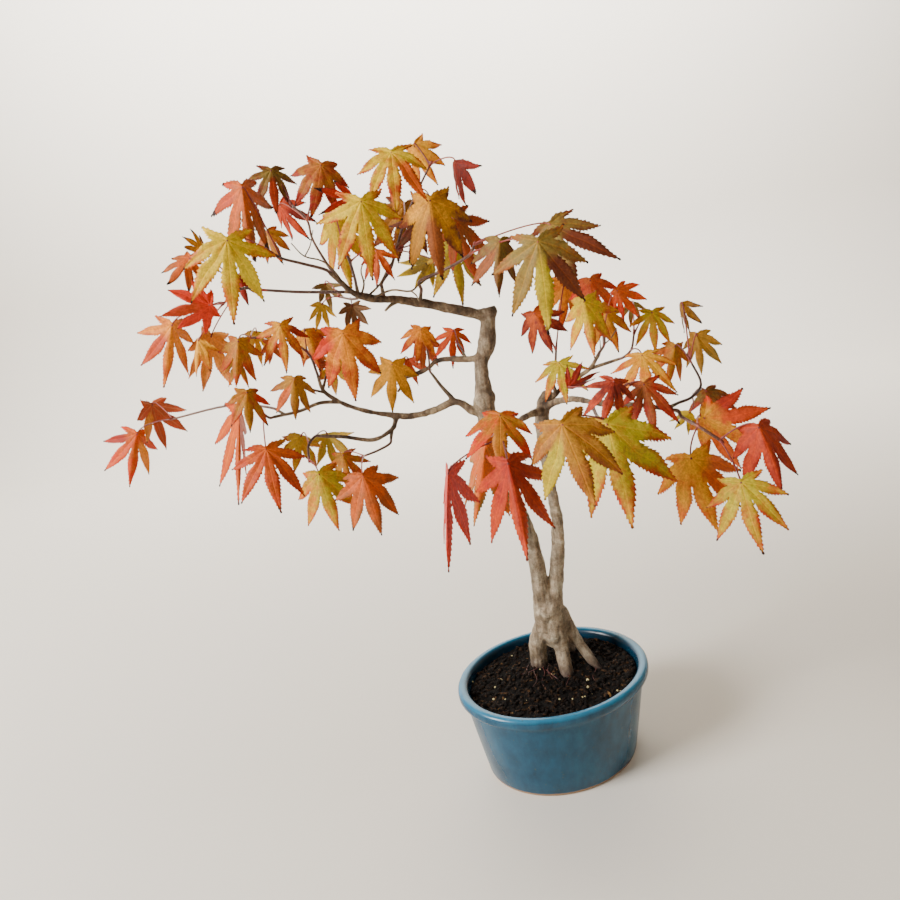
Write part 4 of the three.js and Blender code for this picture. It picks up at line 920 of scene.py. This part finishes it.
for number, (name, spray) in enumerate(sprays.items()):
    stem = viewStops(spray["stem"])
    if "stub" in spray:
        before = viewStops([spray["stub"]])[0]
    else:
        carrier = next(rows for rows in branches.values() if rows[-1][:3] == spray["stem"][0][:3])
        before = viewStops(carrier)[-2]
    foot, radius = np.array(stem[0][:3]), stem[0][3]
    heading = foot - np.array(before[:3])
    heading /= np.linalg.norm(heading)
    line = flow([[*foot, radius], [*(foot + twigShape["outset"] * heading), radius], *stem[1:]], 5)
    last = line[-1][:3] - line[-2][:3]
    lines = [line, bud(line[-1][:3], last / np.linalg.norm(last))]
    tints = [twigShape["twigTints"][number % 3], twigShape["budTint"]]
    leaves = []
    for place, row in enumerate(spray["leaves"]):
        leaf = {"more": {}, **dict(zip(leafColumns, row))}
        seed = 10 * number + place + 1
        piece, lie = grownLeaf(leaf, seed)
        leaves.append(piece)
        lines.append(stalk(np.array(stem[leaf["hub"]][:3]), lie))
        tints.append(twigShape["stalkTints"][int(4 * draw(seed, 5))])
    twigs = tubes("twigs", lines, 2, tints)
    twigs.data.materials.append(redTwig)
    for piece in (twigs, *leaves):
        smoothed(piece)
    finished(joined([twigs, *leaves], f"leaves_{name}"), f"spray_{name}")

# Pot: radii along its long axis and heights, from the middle of the underside round to the middle of the floor
potShape = {
    "profile": [(52, 0), (54, 0), (55.4, 0.6), (56, 2), (58.6, 16), (61.3, 31), (63.7, 45), (65.3, 54.5), (65.6, 56.6),
                (66.4, 58), (68, 58.7), (69.3, 59.2), (70, 60.4), (70.2, 62), (70, 64), (69.2, 65.4), (68, 66),
                (66.2, 66.1), (64.6, 65.8), (63.2, 64.8), (62.4, 63), (61.6, 58.5), (60.4, 53), (56.5, 35), (53, 19),
                (51.4, 11), (50.2, 8), (47.6, 6.3), (45, 6)],
    "ratio": 0.85, "turn": 20, "sides": 96,
    "drainRadius": 7, "drainOffset": 28, "drillDepth": 20, "drillHeight": 3,
    "edge": 0.4,
}


def spun(name, profile):  # rings drawn up from a circle, round by round, with both ends capped
    bpy.ops.object.select_all(action="DESELECT")
    radius, level = profile[0]
    bpy.ops.mesh.primitive_circle_add(vertices=potShape["sides"], radius=radius * mm, location=(0, 0, level * mm),
                                      fill_type="NGON")
    piece = bpy.context.object
    piece.name = name
    bpy.ops.object.transform_apply(location=True, rotation=False, scale=False)
    bpy.ops.object.mode_set(mode="EDIT")
    bpy.ops.mesh.select_mode(type="EDGE")
    bpy.ops.mesh.select_all(action="SELECT")
    for nextRadius, nextLevel in profile[1:]:
        bpy.ops.mesh.extrude_edges_move(TRANSFORM_OT_translate={"value": (0, 0, (nextLevel - level) * mm)})
        share = nextRadius / radius
        bpy.ops.transform.resize(value=(share, share, 1), center_override=(0, 0, nextLevel * mm))
        radius, level = nextRadius, nextLevel
    bpy.ops.mesh.edge_face_add()
    bpy.ops.mesh.select_all(action="SELECT")
    bpy.ops.mesh.normals_make_consistent(inside=False)
    bpy.ops.object.mode_set(mode="OBJECT")
    return piece


def turnedOval(piece):  # squeezed to the pot's oval and turned as it stands
    only(piece)
    piece.scale = (1, potShape["ratio"], 1)
    bpy.ops.object.transform_apply(location=False, rotation=False, scale=True)
    piece.rotation_euler = (0, 0, math.radians(potShape["turn"]))
    bpy.ops.object.transform_apply(location=False, rotation=True, scale=False)


pot = spun("glazedPot", potShape["profile"])
for side in (-1, 1):
    bpy.ops.object.select_all(action="DESELECT")
    middle = (side * potShape["drainOffset"] * mm, 0, potShape["drillHeight"] * mm)
    bpy.ops.mesh.primitive_cylinder_add(vertices=40, radius=potShape["drainRadius"] * mm,
                                        depth=potShape["drillDepth"] * mm, location=middle)
    drill = bpy.context.object
    applied(pot, "BOOLEAN", operation="DIFFERENCE", object=drill, solver="EXACT")
    bpy.data.objects.remove(drill)
applied(pot, "BEVEL", width=potShape["edge"] * mm, segments=2, limit_method="ANGLE", angle_limit=math.radians(60))
turnedOval(pot)
smoothed(pot, 35)

# Stoneware with a poured glassy blue glaze: deep teal where it pooled, paler over the lip partly where it thinned
# and partly as a painted highlight, with small iron specks and faint runs, a bare buff foot, and painted shade inside
potGlaze, tree, shader, place = newMaterial("potGlaze", {"IOR": 1.5, "Specular IOR Level": 0.38})
heightOf = added(tree, "SeparateXYZ", {0: place})
runs = added(tree, "Mapping", {"Scale": (1, 1, 0.6), "Vector": place})
pooled = added(tree, "TexNoise", {"Scale": 60, "Detail": 6, "Roughness": 0.7, "Vector": runs})
glaze = added(tree, "ValToRGB", {"Fac": pooled, "ramp": [(0.3, "#0c3346"), (0.5, "#10425a"), (0.68, "#164f69")]})
wobble = added(tree, "Math", {"operation": "MULTIPLY_ADD", 0: pooled, 1: 0.0016, 2: heightOf.outputs["Z"]})
# the paler band on the lip is partly thinner glaze and partly a painted highlight
lip = added(tree, "MapRange", {"Value": wobble, "From": (0.0645, 0.0668)})
lipShare = added(tree, "Math", {"operation": "MULTIPLY", 0: lip, 1: 0.6})
thinnedAndHighlit = added(tree, "Mix", {"data_type": "RGBA", 0: lipShare, 6: glaze, 7: "#3787aa"})
iron = added(tree, "TexNoise", {"Scale": 420, "Detail": 2, "Vector": place})
speck = added(tree, "MapRange", {"Value": iron, "From": (0.68, 0.76), "To": (0, 0.75)})
specked = added(tree, "Mix", {"data_type": "RGBA", 0: speck, 6: thinnedAndHighlit, 7: "#3b4a3c"})
foot = added(tree, "MapRange", {"Value": wobble, "From": (0.0026, 0.0034), "To": (1, 0)})
fired = added(tree, "Mix", {"data_type": "RGBA", 0: foot, 6: specked, 7: "#9b7b5e"})
# the inner wall, whose faces look at the pot's middle, is darkened as painted shade
outward = added(tree, "VectorMath", {"operation": "MULTIPLY", 0: place, 1: (1, 1, 0)})
across = added(tree, "VectorMath", {"operation": "NORMALIZE", 0: outward})
facing = added(tree, "NewGeometry", {}).outputs["Normal"]
away = added(tree, "VectorMath", {"operation": "DOT_PRODUCT", 0: across, 1: facing})
inner = added(tree, "MapRange", {"Value": away, "From": (-0.75, -0.2), "To": (0.8, 0.0)})
stainAndShade = added(tree, "Mix", {"data_type": "RGBA", 0: inner, 6: fired, 7: "#0a2233"})
surfaced(tree, shader, stainAndShade, added(tree, "TexNoise", {"Scale": 140, "Detail": 2, "Vector": place}), 0.12, 1)
wired(tree, shader, {"Roughness": added(tree, "MapRange", {"Value": foot, "To": (0.26, 0.85)})})
pot.data.materials.append(potGlaze)
finished(pot, "pot")

# Soil: a low mound of dark bark mix, with crumbs, chips, pumice and fine roots on it
soilShape = {
    "rings": [(45, 6.3), (48.6, 7.8), (50.2, 11), (52, 19), (55.4, 35), (59.4, 52)],
    "level": 59.5, "edge": 61.2, "topRings": 40,
    "mound": 3, "moundAt": (12, 14), "moundSpread": 30, "bump": 0.7,
    "rough": [(0.9, 0.55, 3), (0.5, 1.4, 8)],  # height, pace and layer of each
    "spread": 60,
    # how many, first seed, size, flatness and stretch
    "crumbs": (1700, 100, 1.5, 0.8, 1.2), "chips": (260, 5000, 1.0, 0.5, 3.2), "pumice": (26, 9000, 0.65, 0.9, 1.1),
    "seenPumice": [(500, 671, 1.5), (501, 680, 1.4), (553, 674, 1.6), (588, 680, 1.4), (588, 687, 1.3), (472, 682, 1.2),
                   (565, 667, 1.0), (520, 690, 0.9), (606, 668, 0.9)],
}
edge, level, topRings = soilShape["edge"], soilShape["level"], soilShape["topRings"]
rings = soilShape["rings"] + [(edge - 0.4 - (edge - 1.4) * i / topRings, level) for i in range(topRings + 1)]
soil = spun("pottingSoil", rings)
turnedOval(soil)


def soilHeight(x, y):  # millimetres
    mx, my = soilShape["moundAt"]
    mound = soilShape["mound"] * math.exp(-((x - mx) ** 2 + (y - my) ** 2) / soilShape["moundSpread"] ** 2)
    return level + mound + soilShape["bump"] * math.sin(0.31 * x + 1) * math.cos(0.27 * y)


def soilSeen(u, v, above):  # where the view meets the soil, or a little above it
    for y in np.arange(-60, 60, 0.25):
        spot = seen(u, v, y)
        if spot[2] <= soilHeight(spot[0], spot[1]) + above:
            return spot


for vertex in soil.data.vertices:
    if vertex.co.z > (level - 0.1) * mm:
        x, y = vertex.co.x * 1000, vertex.co.y * 1000
        rough = sum(size * noise.noise(Vector((x, y, layer)) * pace) for size, pace, layer in soilShape["rough"])
        vertex.co.z = (soilHeight(x, y) + rough) * mm
smoothed(soil, 60)


def strewnSpots(count, seed, size, flat, stretch):  # place, turn and three sizes of each, clear of the roots
    spots = []
    turn = math.radians(potShape["turn"])
    while len(spots) < count:
        seed += 1
        reach, angle = soilShape["spread"] * math.sqrt(draw(seed, 1)), 2 * math.pi * draw(seed, 2)
        x0, y0 = reach * math.cos(angle), reach * math.sin(angle) * potShape["ratio"]
        x, y = x0 * math.cos(turn) - y0 * math.sin(turn), x0 * math.sin(turn) + y0 * math.cos(turn)
        if any(math.hypot(x - root["foot"][0], y - root["foot"][1]) < root["foot"][2] for root in roots):
            continue
        grown = size * (0.45 + 0.9 * draw(seed, 3) ** 2)
        tips = (6.3 * draw(seed, 4), 0.9 * (draw(seed, 5) - 0.5), 6.3 * draw(seed, 6))
        turned = Matrix.Rotation(tips[2], 3, "Z") @ Matrix.Rotation(tips[1], 3, "Y")
        turned = turned @ Matrix.Rotation(tips[0] if stretch < 2 else tips[1], 3, "X")
        spots.append((np.array((x, y, soilHeight(x, y) + 0.35 * grown * flat)), turned.to_quaternion(),
                      (stretch * grown, grown, flat * grown)))
    return spots


def strewn(name, base, spots):  # copies of one small shape in one mesh
    count = len(base.data.vertices)
    co = np.array([vertex.co for vertex in base.data.vertices], np.float32)
    faces = [tuple(face.vertices) for face in base.data.polygons]
    points, corners = [], []
    for i, (place, turn, sizes) in enumerate(spots):
        points.append(co * (np.array(sizes) * mm) @ np.array(turn.to_matrix()).T + place * mm)
        corners += [tuple(k + i * count for k in face) for face in faces]
    mesh = bpy.data.meshes.new(name)
    mesh.from_pydata(np.vstack(points).tolist(), [], corners)
    piece = bpy.data.objects.new(name, mesh)
    bpy.context.collection.objects.link(piece)
    return piece


bpy.ops.object.select_all(action="DESELECT")
bpy.ops.mesh.primitive_ico_sphere_add(subdivisions=1, radius=1)
pebble = bpy.context.object
for i, vertex in enumerate(pebble.data.vertices):
    vertex.co *= 0.75 + 0.5 * draw(i, 4)
crumbs = strewn("soilCrumbs", pebble, strewnSpots(*soilShape["crumbs"]))
chips = strewn("barkChips", pebble, strewnSpots(*soilShape["chips"]))
pumiceSpots = strewnSpots(*soilShape["pumice"])
pumiceSpots += [(soilSeen(u, v, 0.3), Matrix.Rotation(u, 3, "Z").to_quaternion(), (size, size, 0.8 * size))
                for u, v, size in soilShape["seenPumice"]]
pumice = strewn("pumiceGrains", pebble, pumiceSpots)
bpy.data.objects.remove(pebble)
print("soil strewn")


def earthMaterial(name, ramp, scale, settings):
    material, tree, shader, place = newMaterial(name, settings)
    fleck = added(tree, "TexNoise", {"Scale": scale, "Detail": 4, "Roughness": 0.7, "Vector": place})
    surfaced(tree, shader, added(tree, "ValToRGB", {"Fac": fleck, "ramp": ramp}), fleck, 0.8, 0.6)
    return material


# Moist composted bark, nearly black with brown fibres, its paler chips, and pumice grains
earths = [
    (soil, "soil", "moistSoil", [(0.35, "#040302"), (0.6, "#0e0906"), (0.8, "#20140b")], 700, 0.9, 0.15),
    (crumbs, None, "barkCrumbs", [(0.38, "#050302"), (0.55, "#140c07"), (0.7, "#3d2814")], 260, 0.85, 0.15),
    (chips, None, "woodChips", [(0.38, "#150c06"), (0.55, "#3f2812"), (0.7, "#7a5a30")], 200, 0.85, 0.2),
    (pumice, None, "pumiceStone", [(0.3, "#9d8c62"), (0.6, "#d6c691"), (0.8, "#efe6c4")], 900, 0.95, 0.5),
]
for piece, node, name, ramp, scale, roughness, specular in earths:
    settings = {"Roughness": roughness, "Specular IOR Level": specular}
    piece.data.materials.append(earthMaterial(name, ramp, scale, settings))
    finished(piece, node)

# Fine roots that run out of the stump over the soil
rootletShape = {
    "lines": [
        [(536, 664), (534, 672), (537, 680), (533, 688)], [(542, 666), (545, 674), (542, 682), (546, 690)],
        [(549, 664), (548, 672), (552, 679)], [(531, 662), (527, 669), (529, 676)],
        [(565, 672), (569, 678), (566, 686)],
        [(594, 662), (596, 670), (593, 677), (597, 684)], [(538, 668), (529, 673), (520, 675)],
        [(546, 670), (554, 677), (560, 681)],
    ],
    "radius": 0.38,
    "tint": "#4b221f",
}
lines = []
for trail in rootletShape["lines"]:
    rows = []
    for k, (u, v) in enumerate(trail):
        x, y = soilSeen(u, v, 0.2)[:2]
        rows.append([x, y, soilHeight(x, y) + 0.35 + 0.5 * (k % 2), rootletShape["radius"] * (1 - 0.2 * k)])
    lines.append(flow(rows, 5))
rootlets = tubes("fineRoots", lines, 1, [rootletShape["tint"]] * len(lines))
rootlets.data.materials.append(redTwig)
smoothed(rootlets)
finished(rootlets, None)

# Moulded polypropylene net: matt black-grey with a fine grain
netPlastic, tree, shader, place = newMaterial("netPlastic", {"IOR": 1.49, "Roughness": 0.55})
grain = added(tree, "TexNoise", {"Scale": 1600, "Detail": 2, "Vector": place})
colour = added(tree, "ValToRGB", {"Fac": grain, "ramp": [(0.35, "#24272a"), (0.7, "#34383b")]})
surfaced(tree, shader, colour, grain, 0.25, 0.2)
for name in ("drain_net_left", "drain_net_right"):
    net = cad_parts[name]
    net.data.materials.clear()
    net.data.materials.append(netPlastic)

for blade in blades.values():
    bpy.data.objects.remove(blade)

# Floor drawn up into a backdrop, light and camera
room = {"width": 9, "front": -3, "back": 1.9, "bend": 0.5, "height": 2.8}
bpy.ops.object.select_all(action="DESELECT")
bpy.ops.mesh.primitive_plane_add(size=1)
floor = bpy.context.object
floor.name = "floor"
floor.scale = (room["width"], room["back"] - room["front"], 1)
floor.location = (0, (room["front"] + room["back"]) / 2, 0)
bpy.ops.object.transform_apply(location=True, rotation=False, scale=True)
for edge in floor.data.edges:
    edge.select = all(floor.data.vertices[i].co.y > 1 for i in edge.vertices)
bpy.ops.object.mode_set(mode="EDIT")
bpy.ops.mesh.select_mode(type="EDGE")
bpy.ops.mesh.extrude_edges_move(TRANSFORM_OT_translate={"value": (0, 0, room["height"])})
bpy.ops.object.mode_set(mode="OBJECT")
applied(floor, "BEVEL", width=room["bend"], segments=16, limit_method="ANGLE")
smoothed(floor)
# Plain matt paper, warm white
plainFloor = newMaterial("plainFloor", {"Roughness": 0.8, "Base Color": "#e3dbce"})[0]
floor.data.materials.append(plainFloor)

world = bpy.data.worlds.new("paleRoom")
world.use_nodes = True
bpy.context.scene.world = world
wired(world.node_tree, world.node_tree.nodes["Background"], {"Color": "#eef1f4", "Strength": 0.21})

lamps = {
    "window": {"at": (-1.25, -0.5, 0.9), "aim": (-0.05, -0.02, 0.22), "size": (0.6, 0.6), "power": 47},
    "fill": {"at": (0.9, -1.2, 0.7), "aim": (-0.05, -0.02, 0.22), "size": (1.2, 1.2), "power": 1.5},
    "wash": {"at": (0, 0.9, 1.75), "aim": (0, 1.9, 1.25), "size": (2.8, 0.5), "power": 140},
}
for name, lamp in lamps.items():
    bpy.ops.object.light_add(type="AREA", location=lamp["at"])
    light = bpy.context.object
    light.name = name
    light.data.shape = "RECTANGLE"
    light.data.size, light.data.size_y = lamp["size"]
    light.data.energy = lamp["power"]
    aim = Vector(lamp["aim"]) - light.location
    light.rotation_euler = aim.to_track_quat("-Z", "Y").to_euler()

bpy.ops.object.camera_add(location=eye * mm)
camera = bpy.context.object
camera.data.lens = view["lens"]
camera.data.sensor_width = view["sensor"]
camera.data.clip_start = 0.01
camera.matrix_world = Matrix([*zip(right, -down, -forward, eye * mm), (0, 0, 0, 1)])
bpy.context.scene.camera = camera
